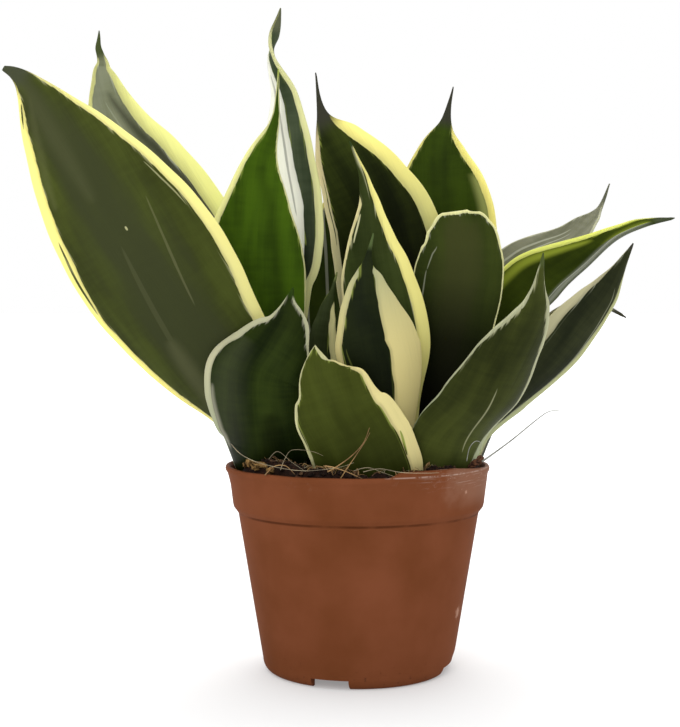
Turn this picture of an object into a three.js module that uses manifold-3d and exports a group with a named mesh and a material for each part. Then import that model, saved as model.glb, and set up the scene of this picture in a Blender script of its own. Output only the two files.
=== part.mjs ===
// Potted birds nest snake plant: dwarf variegated rosettes in a 12 cm nursery pot.
// Millimetres, +Z up. The origin is the middle of the pot's foot, on the surface that it stands on.
// The side of the plant that faces the viewer is -Y.
import * as THREE from "three";
import { mergeVertices } from "three/addons/utils/BufferGeometryUtils.js";
import Module from "manifold-3d";

const wasm = await Module();
wasm.setup();

// Driving dimensions of the pot
const POT_HEIGHT = 92.5;
const RIM_RADIUS = 60;
const BAND_BOTTOM = 72.5;
const BAND_BOTTOM_RADIUS = 57.2;
const STEP_HEIGHT = 1.8;
const BODY_TOP_RADIUS = 55.1;
const BODY_BOTTOM_RADIUS = 43.8;
const FOOT_RADIUS = 40;
const FOOT_HEIGHT = 5.5;
const WALL = 1.7;
const RIM_WIDTH = 2.2;
const FLOOR_TOP = 6.5;
const POT_SIDES = 56;
const CORNER = 2;

// Roundings of the pot, as steps inward and down from the corner that they soften
const RIM_ROUND = [[0.3, 2], [0, 1.2], [0.3, 0.3], [0.8, 0]];
const LIP_ROUND = [0.4, 0.5];
const BAND_ROUND = [0.3, 0.4];

// Rounding of the foot, as steps outward and up from its outer edge
const FOOT_ROUND = [[0, 0], [1.7, 0.7], [3.1, 2.6]];

// Drainage notches round the foot, and drain holes through the floor
const NOTCH_WIDTH = 17;
const NOTCH_HEIGHT = 4.2;
const NOTCH_FIRST = -107;
const NOTCH_COUNT = 4;
const NOTCH_DEPTH = 12;
const DRAIN_RADIUS = 4.5;
const DRAIN_RING = 28;
const DRAIN_SIDES = 16;

// Clearance between pieces that touch
const GAP = 0.3;

// Potting mix
const SOIL_EDGE = 89;
const SOIL_RADIUS = 56.6;
const SOIL_HEAP = 7;
const SOIL_RINGS = 9;
const SOIL_SECTORS = 36;

// Waves that make the top of the mix uneven: radians per mm along x and y, a start and a height
const SOIL_WAVES = [[0.37, 0.31, 1, 0.6], [0.37, -0.31, 1, 0.5], [-0.43, 0.61, 0, 0.6]];

// Leaves
const LEAF_RINGS = 12;
const LEAF_STRIPS = 6;
const HOLE_TOP = 103;
const HOLE_REACH = 6;
const MARGIN_THICKNESS = 0.9;
const ROOT_THICKNESS = 3.4;
const TIP_THICKNESS = 1.4;
const LEAST_WIDTH = 1;

// Rhizome, below the leaves
const CROWN_TOP = 74;
const CROWN_DEPTH = 12;
const CROWN_TAPER = 0.8;
const RHIZOME_RADIUS = 6;
const RHIZOME_DROP = 3;
const RHIZOME_SAG = 5;
const ROOT_RADIUS = 1.6;
const ROOT_BEND = [0.6, 0.3, 0.45];
const CROWN_SIDES = 10;
const RHIZOME_SIDES = 8;
const RHIZOME_STEPS = 3;
const ROOT_SIDES = 5;
const ROOT_STEPS = 3;

// Each leaf runs along its rib from foot to tip. A row of the rib is x, y, z, the width across the blade
// and the turn, all in mm and degrees. At turn 0 the inner face looks towards -Y, at 90 towards +X.
// Cup is half the angle that the blade curls through at its foot and at its tip, and tilt lifts the side
// that the turn points at. Slant cuts the top down on one side.
const leaves = [
  {
    name: "leaf_left_large", colour: "#3f4a2a", tilt: 0, cup: [35, 14],
    rib: [
      [-38, -12, 78, 26, 160], [-44, -14, 103, 33, 163], [-55, -18, 128, 48, 166],
      [-73, -22, 152, 63, 168], [-88, -26, 174, 70, 169], [-102, -30, 197, 68, 170],
      [-115, -34, 219, 56, 172], [-129, -38, 242, 34, 174], [-144, -41, 262, 8, 176],
      [-152.5, -42, 267.5, 1, 176],
    ],
  },
  {
    name: "leaf_front_left_cupped", colour: "#20301c", tilt: 0, cup: [42, 30],
    rib: [
      [-33, -29, 78, 22, 160], [-38, -32, 92, 27, 163], [-43, -36, 104, 38, 165], [-45, -39, 120, 48, 165],
      [-45, -40, 136, 51, 165], [-38, -38, 151, 35, 168], [-32, -35, 161, 18, 170], [-29, -33, 168, 5, 170],
      [-28.5, -32, 173.5, 1, 170],
    ],
  },
  {
    name: "leaf_front_torn", colour: "#3f5a26", tilt: 0, cup: [38, 26], slant: 0.16,
    rib: [
      [8, -45, 78, 40, 180], [5, -49, 93, 46, 180], [-1, -51, 108, 45, 180], [-7, -52, 120, 41, 180],
      [-11, -51, 130, 33, 180], [-14, -50, 138, 22, 180], [-14.5, -49, 149, 8, 180],
    ],
  },
  {
    name: "leaf_front_cream", colour: "#d8d093", tilt: 0, cup: [34, 24],
    rib: [
      [12, -31, 78, 20, 190], [13, -34, 108, 24, 190], [12, -36, 136, 36, 188], [9, -36, 150, 36, 186],
      [5, -34, 166, 26, 184], [4, -31, 178, 14, 182], [4, -29, 185, 4, 180], [6.5, -26, 197.5, 1, 180],
    ],
  },
  {
    name: "leaf_centre_yellow_edge", colour: "#33471f", tilt: 0, cup: [28, 22],
    rib: [
      [18, -19, 78, 22, 190], [18, -21, 119, 30, 190], [15, -23, 150, 38, 188], [9, -22, 178, 33, 186],
      [6, -21, 196, 21, 184], [5, -20, 211, 10, 182], [2, -19, 224, 4, 180], [-4, -18, 239, 1, 180],
    ],
  },
  {
    name: "leaf_tall_centre", colour: "#26351c", tilt: 0, cup: [26, 16],
    rib: [
      [12, 2, 78, 24, 4], [16, 3, 122, 32, 4], [17, 5, 168, 48, 4], [13, 7, 198, 55, 4],
      [4, 8, 221, 46, 4], [-8, 8, 241, 23, 4], [-17, 8, 255, 4, 4], [-20, 7, 274, 1, 4],
    ],
  },
  {
    name: "leaf_back_right", colour: "#3d5a1e", tilt: 0, cup: [24, 16],
    rib: [
      [24, 21, 78, 22, -14], [34, 26, 121, 28, -14], [42, 31, 168, 48, -12], [42, 33, 198, 51, -10],
      [40, 34, 222, 43, -10], [40, 35, 242, 22, -10], [42, 36, 255, 5, -10], [46, 37, 272, 1, -10],
    ],
  },
  {
    name: "leaf_round_topped", colour: "#36451f", tilt: 0, cup: [26, 18],
    rib: [
      [32, -7, 78, 22, -12], [35, -7, 116, 27, -12], [41, -6, 150, 38, -10], [46, -4, 178, 41, -8],
      [47.5, -3, 193, 35, -8], [47, -3, 202, 26, -8], [46, -3, 206.5, 17, -8], [45.5, -3, 209, 5, -8],
    ],
  },
  {
    name: "leaf_front_right", colour: "#3b5124", tilt: 0, cup: [36, 20],
    rib: [
      [35, -33, 78, 25, 200], [40, -38, 105, 34, 203], [55, -46, 124, 42, 206], [65, -56, 144, 34, 208],
      [70, -61, 155, 26, 208], [73.5, -66, 165, 15, 208], [75.5, -69, 174, 5, 208], [77, -74, 187, 1, 208],
    ],
  },
  {
    name: "leaf_right_low", colour: "#243319", tilt: 0, cup: [34, 22],
    rib: [
      [42, -18, 78, 20, 205], [50, -19, 99, 22, 205], [67, -22, 122, 31, 205], [84.5, -25, 141, 31, 205],
      [99, -27, 157, 25, 205], [109, -28, 169, 15, 205], [115, -29, 181, 5, 205], [120.5, -30, 193, 1, 205],
    ],
  },
  {
    name: "leaf_far_right_channelled", colour: "#6c8a22", tilt: -24, cup: [40, 40],
    rib: [
      [41, 3, 78, 18, -90], [52, 5, 108, 25, -90], [70, 11, 149, 40, -90], [88, 18, 169, 41, -90],
      [106, 23, 185, 30, -90], [123, 27, 198, 15, -90], [138, 30, 204.5, 6, -90], [152.5, 32, 208, 1, -90],
    ],
  },
  {
    name: "leaf_right_back", colour: "#5b6650", tilt: -18, cup: [30, 28],
    rib: [
      [40, 25, 78, 17, -60], [54, 37, 122, 27, -62], [67, 48, 163, 40, -66], [87, 55, 181, 41, -70],
      [106, 61, 195, 31, -72], [118, 65, 206, 16, -74], [122.5, 68, 214, 4, -74], [127, 72, 228, 1, -74],
    ],
  },
  {
    name: "leaf_right_small_arching", colour: "#6f775c", tilt: -20, cup: [34, 30],
    rib: [
      [48, -5, 78, 10, -90], [61, -4, 110, 14, -90], [78, -1, 139, 20, -88], [92, 4, 155, 22, -86],
      [104, 11, 163, 18, -86], [113, 15, 165, 9, -86], [119, 17, 164, 4, -86], [126.5, 18, 160, 1, -86],
    ],
  },
  {
    name: "leaf_back_left", colour: "#5c6a44", tilt: 0, cup: [28, 16],
    rib: [
      [-31, 27, 78, 22, 14], [-49, 30, 130, 34, 14], [-72, 31, 176, 50, 14], [-90, 34, 206, 54, 14],
      [-106, 37, 232, 46, 14], [-117, 39, 254, 29, 14], [-124.5, 41, 277, 9, 14], [-127, 42, 299, 1, 14],
    ],
  },
  {
    name: "leaf_left_centre_bright", colour: "#4d7016", tilt: 0, cup: [12, 18],
    rib: [
      [-32, 2, 78, 24, 4], [-44, 3, 122, 33, 4], [-48, 4, 165, 47, 4], [-48, 4, 190, 47, 4],
      [-47, 4, 212, 33, 4], [-45, 4, 233, 16, 4], [-40, 3, 252, 6, 4], [-37, 2, 275, 1, 4],
    ],
  },
  {
    name: "leaf_tall_twisted", colour: "#6d7a66", tilt: 0, cup: [16, 30],
    rib: [
      [-26, 13, 78, 20, 12], [-33, 14, 122, 24, 12], [-36, 15, 172, 28, 14], [-30.5, 14, 212, 30, 16],
      [-32, 13, 241, 24, 20], [-34, 11, 264, 14, 26], [-40, 8, 283, 7, 36], [-39, 5, 292, 5, 56],
      [-36, 2, 303, 1, 80],
    ],
  },
  {
    name: "leaf_centre_small", colour: "#2a3a22", tilt: 0, cup: [30, 24],
    rib: [
      [-12, -24, 78, 18, 180], [-15, -24, 112, 20, 180], [-16, -24, 138, 19, 180], [-16, -23, 153, 14, 180],
      [-15, -22, 167, 7, 180], [-14, -21, 182, 3, 180], [-14, -20, 195, 1, 180],
    ],
  },
  {
    name: "leaf_behind_left", colour: "#3d5224", tilt: 0, cup: [26, 18],
    rib: [
      [-22, 39, 78, 20, 12], [-34, 45, 112, 30, 12], [-44, 53, 140, 34, 12], [-52, 61, 160, 22, 12],
      [-56, 66, 172, 6, 12], [-58, 70, 182, 1, 12],
    ],
  },
  {
    name: "leaf_behind_centre", colour: "#3d5224", tilt: 0, cup: [26, 18],
    rib: [
      [-4, 29, 78, 20, 0], [-7, 36, 118, 34, 0], [-10, 44, 158, 38, 0], [-12, 50, 188, 31, 0],
      [-14, 54, 208, 16, 0], [-14, 57, 220, 4, 0], [-13, 58, 228, 1, 0],
    ],
  },
  {
    name: "leaf_behind_right", colour: "#3d5224", tilt: 0, cup: [26, 18],
    rib: [
      [5, 43, 78, 16, -14], [13, 50, 112, 27, -14], [22, 58, 142, 32, -14], [28, 66, 166, 21, -14],
      [31, 71, 178, 6, -14], [33, 74, 188, 1, -14],
    ],
  },
  {
    name: "leaf_behind_far_left", colour: "#3d5224", tilt: 0, cup: [28, 22],
    rib: [
      [-45, 12, 78, 13, 60], [-49, 12, 98, 16, 60], [-63, 9, 116, 21, 58], [-79, 9, 133, 23, 54],
      [-93, 15, 147, 17, 52], [-100, 18, 153, 6, 52], [-106, 21, 157, 1, 52],
    ],
  },
  {
    name: "leaf_behind_far_right", colour: "#3d5224", tilt: 0, cup: [28, 22],
    rib: [
      [22, 42, 78, 12, -30], [31, 47, 100, 18, -36], [46, 54, 120, 25, -42], [64, 58, 137, 27, -44],
      [78, 65, 147, 18, -46], [85, 69, 150, 6, -46], [91, 72, 152, 1, -46],
    ],
  },
];

function degrees(angle) {
  return (angle * Math.PI) / 180;
}

// A value of a row list at place s, on a smooth curve through the rows
function rowAt(rows, s) {
  const last = rows.length - 1;
  const i = Math.min(Math.floor(s), last - 1);
  const f = s - i;
  const before = rows[Math.max(i - 1, 0)];
  const from = rows[i];
  const to = rows[i + 1];
  const after = rows[Math.min(i + 2, last)];
  return from.map((value, k) => {
    const slopeIn = (to[k] - before[k]) / 2;
    const slopeOut = (after[k] - value) / 2;
    const rise = to[k] - value;
    const bend = 3 * rise - 2 * slopeIn - slopeOut;
    const turnBack = slopeIn + slopeOut - 2 * rise;
    return value + f * (slopeIn + f * (bend + f * turnBack));
  });
}

// The direction of a leaf's rib at place s
function ribDirection(leaf, s) {
  const last = leaf.rib.length - 1;
  const reach = 0.02;
  const ahead = new THREE.Vector3(...rowAt(leaf.rib, Math.min(s + reach, last)));
  const behind = new THREE.Vector3(...rowAt(leaf.rib, Math.max(s - reach, 0)));
  return ahead.sub(behind).normalize();
}

// A point of a leaf: s runs along its rib, u across it from -1 to 1, and side is 1 on the inner face.
// Extra thickens the blade all round, and sunk moves the point back along the rib.
function leafPoint(leaf, s, u, side, extra, sunk) {
  const [x, y, z, width, turn] = rowAt(leaf.rib, s);
  const along = ribDirection(leaf, s);
  const lift = degrees(leaf.tilt);
  const heading = degrees(turn);
  const level = new THREE.Vector3(Math.cos(heading), Math.sin(heading), 0);
  const across = level.multiplyScalar(Math.cos(lift)).setZ(Math.sin(lift));
  across.addScaledVector(along, -across.dot(along)).normalize();
  const inward = new THREE.Vector3().crossVectors(across, along);
  const share = s / (leaf.rib.length - 1);
  const cup = degrees(leaf.cup[0] + (leaf.cup[1] - leaf.cup[0]) * share);
  const chord = Math.max(width, LEAST_WIDTH) + 2 * extra;
  const radius = chord / 2 / Math.sin(cup);
  const rib = ROOT_THICKNESS + (TIP_THICKNESS - ROOT_THICKNESS) * share;
  const half = (MARGIN_THICKNESS + (Math.min(rib, chord) - MARGIN_THICKNESS) * (1 - u * u)) / 2 + extra;
  const place = new THREE.Vector3(x, y, z).addScaledVector(along, -sunk);
  place.addScaledVector(across, (radius - side * half) * Math.sin(cup * u));
  place.addScaledVector(inward, radius - (radius - side * half) * Math.cos(cup * u));
  return place;
}

// A leaf from a list of rings, each a share of the rib's length and how far it is sunk back along the rib
function leafGeometry(leaf, rings, extra) {
  const last = leaf.rib.length - 1;
  const slant = leaf.slant ?? 0;
  const strips = LEAF_STRIPS + 1;
  const points = [];
  for (const [t, sunk] of rings) {
    for (const side of [1, -1]) {
      for (let strip = 0; strip < strips; strip += 1) {
        const u = (2 * strip) / LEAF_STRIPS - 1;
        const s = last * (t - (slant * t ** 4 * (1 - u)) / 2);
        points.push(...leafPoint(leaf, s, u, side, extra, sunk).toArray());
      }
    }
  }
  const top = rings.length - 1;
  const faces = [];
  const at = (ring, side, strip) => (2 * ring + side) * strips + strip;
  const quad = (a, b, c, d) => faces.push(a, b, c, a, c, d);
  for (let ring = 0; ring < top; ring += 1) {
    const next = ring + 1;
    for (let strip = 0; strip < LEAF_STRIPS; strip += 1) {
      const right = strip + 1;
      quad(at(ring, 0, strip), at(ring, 0, right), at(next, 0, right), at(next, 0, strip));
      quad(at(ring, 1, strip), at(next, 1, strip), at(next, 1, right), at(ring, 1, right));
    }
    const edge = LEAF_STRIPS;
    quad(at(ring, 1, 0), at(ring, 0, 0), at(next, 0, 0), at(next, 1, 0));
    quad(at(ring, 0, edge), at(ring, 1, edge), at(next, 1, edge), at(next, 0, edge));
  }
  for (let strip = 0; strip < LEAF_STRIPS; strip += 1) {
    const right = strip + 1;
    quad(at(0, 0, strip), at(0, 1, strip), at(0, 1, right), at(0, 0, right));
    quad(at(top, 0, right), at(top, 1, right), at(top, 1, strip), at(top, 0, strip));
  }
  const geometry = new THREE.BufferGeometry();
  geometry.setAttribute("position", new THREE.Float32BufferAttribute(points, 3));
  geometry.setIndex(faces);
  return geometry;
}

// The rings of a whole blade
function bladeRings() {
  return Array.from({ length: LEAF_RINGS + 1 }, (_, ring) => [ring / LEAF_RINGS, 0]);
}

// The rings of the hole that a leaf stands in: they start below its foot and end above the mix
function holeRings(leaf) {
  const last = leaf.rib.length - 1;
  const end = bladeRings().findIndex(([t]) => rowAt(leaf.rib, last * t)[2] > HOLE_TOP);
  return [[0, HOLE_REACH], ...bladeRings().slice(0, end + 1)];
}

// A closed geometry as a solid that can be cut and joined, with its faces pointing out
function solidOf(geometry) {
  const bare = geometry.clone();
  for (const name of ["normal", "uv"]) {
    bare.deleteAttribute(name);
  }
  const merged = mergeVertices(bare, 1e-4);
  const vertProperties = new Float32Array(merged.attributes.position.array);
  const triVerts = new Uint32Array(merged.index.array);
  const solid = new wasm.Manifold(new wasm.Mesh({ numProp: 3, vertProperties, triVerts }));
  if (solid.volume() > 0) {
    return solid;
  }
  for (let face = 0; face < triVerts.length; face += 3) {
    [triVerts[face], triVerts[face + 1]] = [triVerts[face + 1], triVerts[face]];
  }
  return new wasm.Manifold(new wasm.Mesh({ numProp: 3, vertProperties, triVerts }));
}

function geometryOf(solid) {
  const mesh = solid.getMesh();
  const geometry = new THREE.BufferGeometry();
  geometry.setAttribute("position", new THREE.Float32BufferAttribute(mesh.vertProperties, 3));
  geometry.setIndex(new THREE.Uint32BufferAttribute(mesh.triVerts, 1));
  return geometry;
}

// The largest body of a cut solid: loose scraps are dropped
function largest(solid) {
  const bodies = solid.decompose();
  bodies.sort((one, other) => other.volume() - one.volume());
  return bodies[0];
}

const plant = new THREE.Group();

function addPiece(name, solid, finish) {
  const mesh = new THREE.Mesh(geometryOf(solid), new THREE.MeshStandardMaterial(finish));
  mesh.name = name;
  plant.add(mesh);
}

// A profile of radius and height pairs, turned about the pot's axis
function turned(profile, sides) {
  const points = profile.map(([radius, height]) => new THREE.Vector2(radius, height));
  return new THREE.LatheGeometry(points, sides).rotateX(Math.PI / 2);
}

function wallRadius(height) {
  const share = (height - FOOT_HEIGHT) / (BAND_BOTTOM - STEP_HEIGHT - FOOT_HEIGHT);
  return BODY_BOTTOM_RADIUS + (BODY_TOP_RADIUS - BODY_BOTTOM_RADIUS) * share;
}

// The inside of the pot, from the middle of its floor up to the rim, drawn in by the clearance
function insideProfile(clear) {
  const cornerTop = FLOOR_TOP + CORNER;
  const stepTop = BAND_BOTTOM + BAND_ROUND[1];
  const stepBottom = stepTop - STEP_HEIGHT;
  return [
    [0, FLOOR_TOP + clear],
    [wallRadius(FLOOR_TOP) - WALL - CORNER - clear, FLOOR_TOP + clear],
    [wallRadius(cornerTop) - WALL - clear, cornerTop + clear],
    [wallRadius(stepBottom) - WALL - clear, stepBottom + clear],
    [BAND_BOTTOM_RADIUS - WALL - clear, stepTop + clear],
  ];
}

function pot() {
  const shell = solidOf(turned([
    [0, NOTCH_HEIGHT],
    [FOOT_RADIUS - WALL, NOTCH_HEIGHT],
    [FOOT_RADIUS - WALL, 0],
    ...FOOT_ROUND.map(([out, up]) => [FOOT_RADIUS + out, up]),
    [BODY_BOTTOM_RADIUS, FOOT_HEIGHT],
    [BODY_TOP_RADIUS, BAND_BOTTOM - STEP_HEIGHT],
    [BAND_BOTTOM_RADIUS - BAND_ROUND[0], BAND_BOTTOM - BAND_ROUND[1]],
    [BAND_BOTTOM_RADIUS, BAND_BOTTOM],
    ...RIM_ROUND.map(([inward, down]) => [RIM_RADIUS - inward, POT_HEIGHT - down]),
    [RIM_RADIUS - RIM_WIDTH, POT_HEIGHT],
    [RIM_RADIUS - RIM_WIDTH - LIP_ROUND[0], POT_HEIGHT - LIP_ROUND[1]],
    ...insideProfile(0).reverse(),
  ], POT_SIDES));
  const drain = new THREE.CylinderGeometry(DRAIN_RADIUS, DRAIN_RADIUS, 3 * FLOOR_TOP, DRAIN_SIDES);
  drain.rotateX(Math.PI / 2);
  const notch = new THREE.BoxGeometry(NOTCH_DEPTH, NOTCH_WIDTH, 2 * NOTCH_HEIGHT);
  notch.translate(FOOT_RADIUS, 0, 0);
  const cutters = [drain];
  for (let k = 0; k < NOTCH_COUNT; k += 1) {
    const angle = degrees(NOTCH_FIRST + (k * 360) / NOTCH_COUNT);
    cutters.push(notch.clone().rotateZ(angle));
    cutters.push(drain.clone().translate(DRAIN_RING, 0, 0).rotateZ(angle));
  }
  return cutters.reduce((body, cutter) => body.subtract(solidOf(cutter)), shell);
}

// Height of the mix at a point: heaped to the middle, with crumbly bumps that die out at the wall
function soilHeight(x, y) {
  const share = Math.min(Math.hypot(x, y) / SOIL_RADIUS, 1);
  const heap = (SOIL_HEAP * (1 + Math.cos(Math.PI * share))) / 2;
  const bumps = SOIL_WAVES.map(([alongX, alongY, start, height]) => {
    return height * Math.sin(alongX * x + alongY * y + start);
  });
  return SOIL_EDGE + heap + (1 - share ** 6) * bumps.reduce((sum, bump) => sum + bump, 0);
}

function soilBody() {
  const flatTop = SOIL_EDGE + 1;
  const profile = insideProfile(GAP);
  profile.push([SOIL_RADIUS, SOIL_EDGE]);
  for (let ring = SOIL_RINGS - 1; ring > 0; ring -= 1) {
    profile.push([(SOIL_RADIUS * ring) / SOIL_RINGS, flatTop]);
  }
  profile.push([0, flatTop]);
  const body = turned(profile, SOIL_SECTORS);
  const position = body.attributes.position;
  for (let k = 0; k < position.count; k += 1) {
    if (position.getZ(k) > SOIL_EDGE) {
      position.setZ(k, soilHeight(position.getX(k), position.getY(k)));
    }
  }
  return solidOf(body);
}

// Crowns that the leaves grow from, each a centre and a width along x and y
const crowns = [
  { at: [-35, -19], size: [18, 22] },
  { at: [-30, 18], size: [22, 26] },
  { at: [6, -34], size: [28, 18] },
  { at: [12, 24], size: [30, 28] },
  { at: [37, -8], size: [18, 28] },
];

// Creeping stems that join the crowns, from one crown's place to the next
const runners = [[0, 1], [0, 2], [1, 3], [3, 4], [2, 4]];

// Roots: the crown that each grows from, and the x, y and z of its tip
const roots = [
  [0, -36, -14, 16], [0, -22, -30, 24], [1, -34, 10, 14], [1, -14, 30, 22],
  [2, 4, -36, 18], [3, 12, 34, 16], [4, 36, -6, 18], [4, 26, -22, 28],
];

function tube(points, radius, sides, steps) {
  const outline = new THREE.Shape();
  for (let k = 0; k < sides; k += 1) {
    const angle = (2 * Math.PI * k) / sides;
    const step = [radius * Math.cos(angle), radius * Math.sin(angle)];
    if (k === 0) {
      outline.moveTo(...step);
    } else {
      outline.lineTo(...step);
    }
  }
  const extrudePath = new THREE.CatmullRomCurve3(points.map((point) => new THREE.Vector3(...point)));
  return new THREE.ExtrudeGeometry(outline, { extrudePath, steps, bevelEnabled: false });
}

// The rhizome with its crowns and roots. Extra thickens it, for the room that it takes in the mix.
function rhizome(extra) {
  const middle = CROWN_TOP - CROWN_DEPTH / 2;
  const parts = crowns.map(({ at, size }) => {
    const crown = new THREE.CylinderGeometry(1, CROWN_TAPER, CROWN_DEPTH + 2 * extra, CROWN_SIDES);
    crown.rotateX(Math.PI / 2).scale(size[0] / 2 + extra, size[1] / 2 + extra, 1);
    return crown.translate(at[0], at[1], middle);
  });
  for (const [from, to] of runners) {
    const start = crowns[from].at;
    const end = crowns[to].at;
    const depth = middle - RHIZOME_DROP;
    const halfway = [(start[0] + end[0]) / 2, (start[1] + end[1]) / 2, depth - RHIZOME_SAG];
    const route = [[...start, depth], halfway, [...end, depth]];
    parts.push(tube(route, RHIZOME_RADIUS + extra, RHIZOME_SIDES, RHIZOME_STEPS));
  }
  for (const [from, ...tip] of roots) {
    const start = [...crowns[from].at, middle];
    const bend = start.map((value, k) => value + ROOT_BEND[k] * (tip[k] - value));
    const end = [tip[0], tip[1], tip[2] - extra];
    parts.push(tube([start, bend, end], ROOT_RADIUS + extra, ROOT_SIDES, ROOT_STEPS));
  }
  return parts.map(solidOf).reduce((body, part) => body.add(part));
}

addPiece("pot", pot(), { color: "#75412a", roughness: 0.55, metalness: 0 });

let soil = soilBody().subtract(rhizome(GAP));
for (const leaf of leaves) {
  const blade = solidOf(leafGeometry(leaf, bladeRings(), 0));
  addPiece(leaf.name, blade, { color: leaf.colour, roughness: 0.45, metalness: 0 });
  soil = soil.subtract(solidOf(leafGeometry(leaf, holeRings(leaf), GAP)));
}
addPiece("potting_mix", largest(soil), { color: "#2b1d14", roughness: 0.95, metalness: 0 });
addPiece("rhizome", rhizome(0), { color: "#c9a878", roughness: 0.8, metalness: 0 });

export default plant;
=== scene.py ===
"""A potted birds nest snake plant: variegated leaves in dark potting mix, in a terracotta-coloured pot.

Sizes are in millimetres and turn into metres where meshes are made. +Z is up and -Y faces the viewer.
"""

import math
import random

import bmesh
import bpy
import numpy as np
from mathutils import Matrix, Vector, noise


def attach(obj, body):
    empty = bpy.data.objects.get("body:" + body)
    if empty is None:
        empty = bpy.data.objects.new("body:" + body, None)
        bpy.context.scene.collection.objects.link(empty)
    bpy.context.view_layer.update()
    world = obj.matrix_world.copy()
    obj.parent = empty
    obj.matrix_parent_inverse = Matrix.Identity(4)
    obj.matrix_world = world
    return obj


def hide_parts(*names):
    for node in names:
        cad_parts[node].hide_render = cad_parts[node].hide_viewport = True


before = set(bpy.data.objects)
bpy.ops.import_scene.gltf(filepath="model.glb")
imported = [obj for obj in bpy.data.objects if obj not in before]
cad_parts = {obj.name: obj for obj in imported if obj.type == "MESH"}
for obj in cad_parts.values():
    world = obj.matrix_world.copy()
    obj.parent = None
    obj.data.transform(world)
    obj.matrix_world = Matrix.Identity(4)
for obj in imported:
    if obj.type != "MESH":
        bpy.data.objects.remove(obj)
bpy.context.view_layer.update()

MM = 0.001
BODY = "root"
FULL_TURN = 2 * math.pi

# The pot
POT_HEIGHT = 92.5
RIM_RADIUS = 60
BAND_BOTTOM = 74.4
BAND_BOTTOM_RADIUS = 57.2
STEP_HEIGHT = 2.4
STEP_BOTTOM = BAND_BOTTOM - STEP_HEIGHT
BODY_TOP_RADIUS = 55.1
BODY_BOTTOM_RADIUS = 43.8
FOOT_RADIUS = 40
FOOT_HEIGHT = 5.5
FOOT_BULGE = 4.4
FOOT_EDGE = 0.2
WALL = 1.7
RIM_WIDTH = 2.2
FLOOR_TOP = 6.5
NOTCH_LENGTH = 12
NOTCH_WIDTH = 17
NOTCH_HEIGHT = 4.2
NOTCH_FIRST = -107
NOTCH_COUNT = 4
DRAIN_RADIUS = 4.5
DRAIN_RING = 28
DRAIN_REACH = (0.5, 12)
DRAIN_SIDES = 40
POT_SIDES = 288
WALL_STEPS = 30
BAND_STEPS = 10
SHARP_ANGLE = 35
# How the pot is bent: how far up this reaches from its foot and down from its lip, how far its foot is drawn
# in, how far its lip is drawn out and up, and between which angles it stands up most
BENT_FOOT = 9
BENT_LIP = 8
FOOT_IN = 1.5
LIP_OUT = 1.1
LIP_WAVE_OUT = 0.12
LIP_UP = 0.5
LIP_WAVE_UP = 0.35
LIP_RAISED = 2.4
RAISED_FROM = 283
RAISED_TO = 345
# Roundings of the pot's outline, as steps in radius and height from a corner
STEP_ROUNDING = [(0.05, -0.3), (0.4, 0.25)]
BAND_ROUNDING = [(-0.45, -0.5), (-0.1, 0), (0.05, 0.5)]
LIP_ROUNDING = [(-0.45, -2.3), (-0.1, -1.8), (0, -1.1), (-0.15, -0.5), (-0.5, -0.12), (-1, 0)]
INNER_LIP_ROUNDING = [(0.4, 0), (0, -0.3), (-0.3, -1.2)]
# Pale scuffs in the pot's skin, as x, y, z and reach
SCUFFS = [(46.5, -35, 84.5, 1.3), (44, -37.5, 86.2, 1.1), (41.5, -40, 87.4, 1), (44.2, -17.7, 28.5, 3.6)]

# The potting mix
SOIL_EDGE = 89
SOIL_RADIUS = 56.6
SOIL_HEAP = 7
SOIL_RINGS = 110
SOIL_SECTORS = 260
LARGE_CRUMB = 1.65
CRUMB_LIFT = 0.2
CLOD_HEIGHT = 1.5
GRIT_HEIGHT = 0.8
STRAND_STEPS = 6
STRAND_DETAIL = 5
STRAND_SIDES = 6
STRAND_LIFT = 0.25
STRAND_TAPER = 0.65
# Waves in the surface, as steps per mm in x and y, start and height
SOIL_WAVES = [(0.37, 0.31, 1, 0.6), (0.37, -0.31, 1, 0.5), (-0.43, 0.61, 0, 0.6)]
# Small heaps of mix at the front, as x, y, reach and height
HEAPS = [
    (-52, -12, 8, 6), (-48, -24, 8, 8), (-40, -35, 8, 8), (-29, -43, 8, 8), (-17, -49, 7, 5.5),
    (-5, -52, 7, 4.5), (8, -52, 7, 4), (20, -50, 7, 3.5), (32, -44, 8, 4.5), (42, -35, 8, 5.5),
    (50, -20, 8, 9), (53, -8, 8, 7), (37, -43, 7, 3), (27, -49.5, 6, 2.6),
]

# The leaves
LEAF_RINGS = 110
STRIPS_INNER = 14
ROUNDING = 0.5
MARGIN_THICKNESS = 0.9
ROOT_THICKNESS = 3.4
TIP_THICKNESS = 1.4
LEAST_WIDTH = 0.4
# Places of the strips in the rounded edge, as shares of it
STRIPS_EDGE = (0, 0.06, 0.25, 0.6)
# The ripple of the margins: its height, its waves for each row along the edge, how far the two edges are
# apart in it, and how fast it swells and fades
RIPPLE = 0.5
RIPPLE_WAVES = 5.1
RIPPLE_APART = 1.3
RIPPLE_SWELL = 2.3
# How strongly slants and jags keep to the top
SLANT_POWER = 4
JAG_POWER = 12
CURVE_STEP = 0.02
PATTERN_SHIFT = 41.0
GREEN_LIGHT = 0.82
# The grey that veil paints over the pale parts as shade and sheen
VEIL = "#8f9b7c"


def colour(code):
    """A colour written as #rrggbb, in Blender's linear values."""
    parts = [int(code[i:i + 2], 16) / 255 for i in (1, 3, 5)]
    return tuple(p / 12.92 if p <= 0.04045 else ((p + 0.055) / 1.055) ** 2.4 for p in parts) + (1,)


def math_node(operation, swapped=False):
    """A method of Shade that adds a Math node. Swapped is for a number before the operator."""
    def method(self, *other):
        values = (*other, self) if swapped else (self, *other)
        return self.node("Math", {"operation": operation}, dict(enumerate(values)))

    return method


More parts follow.
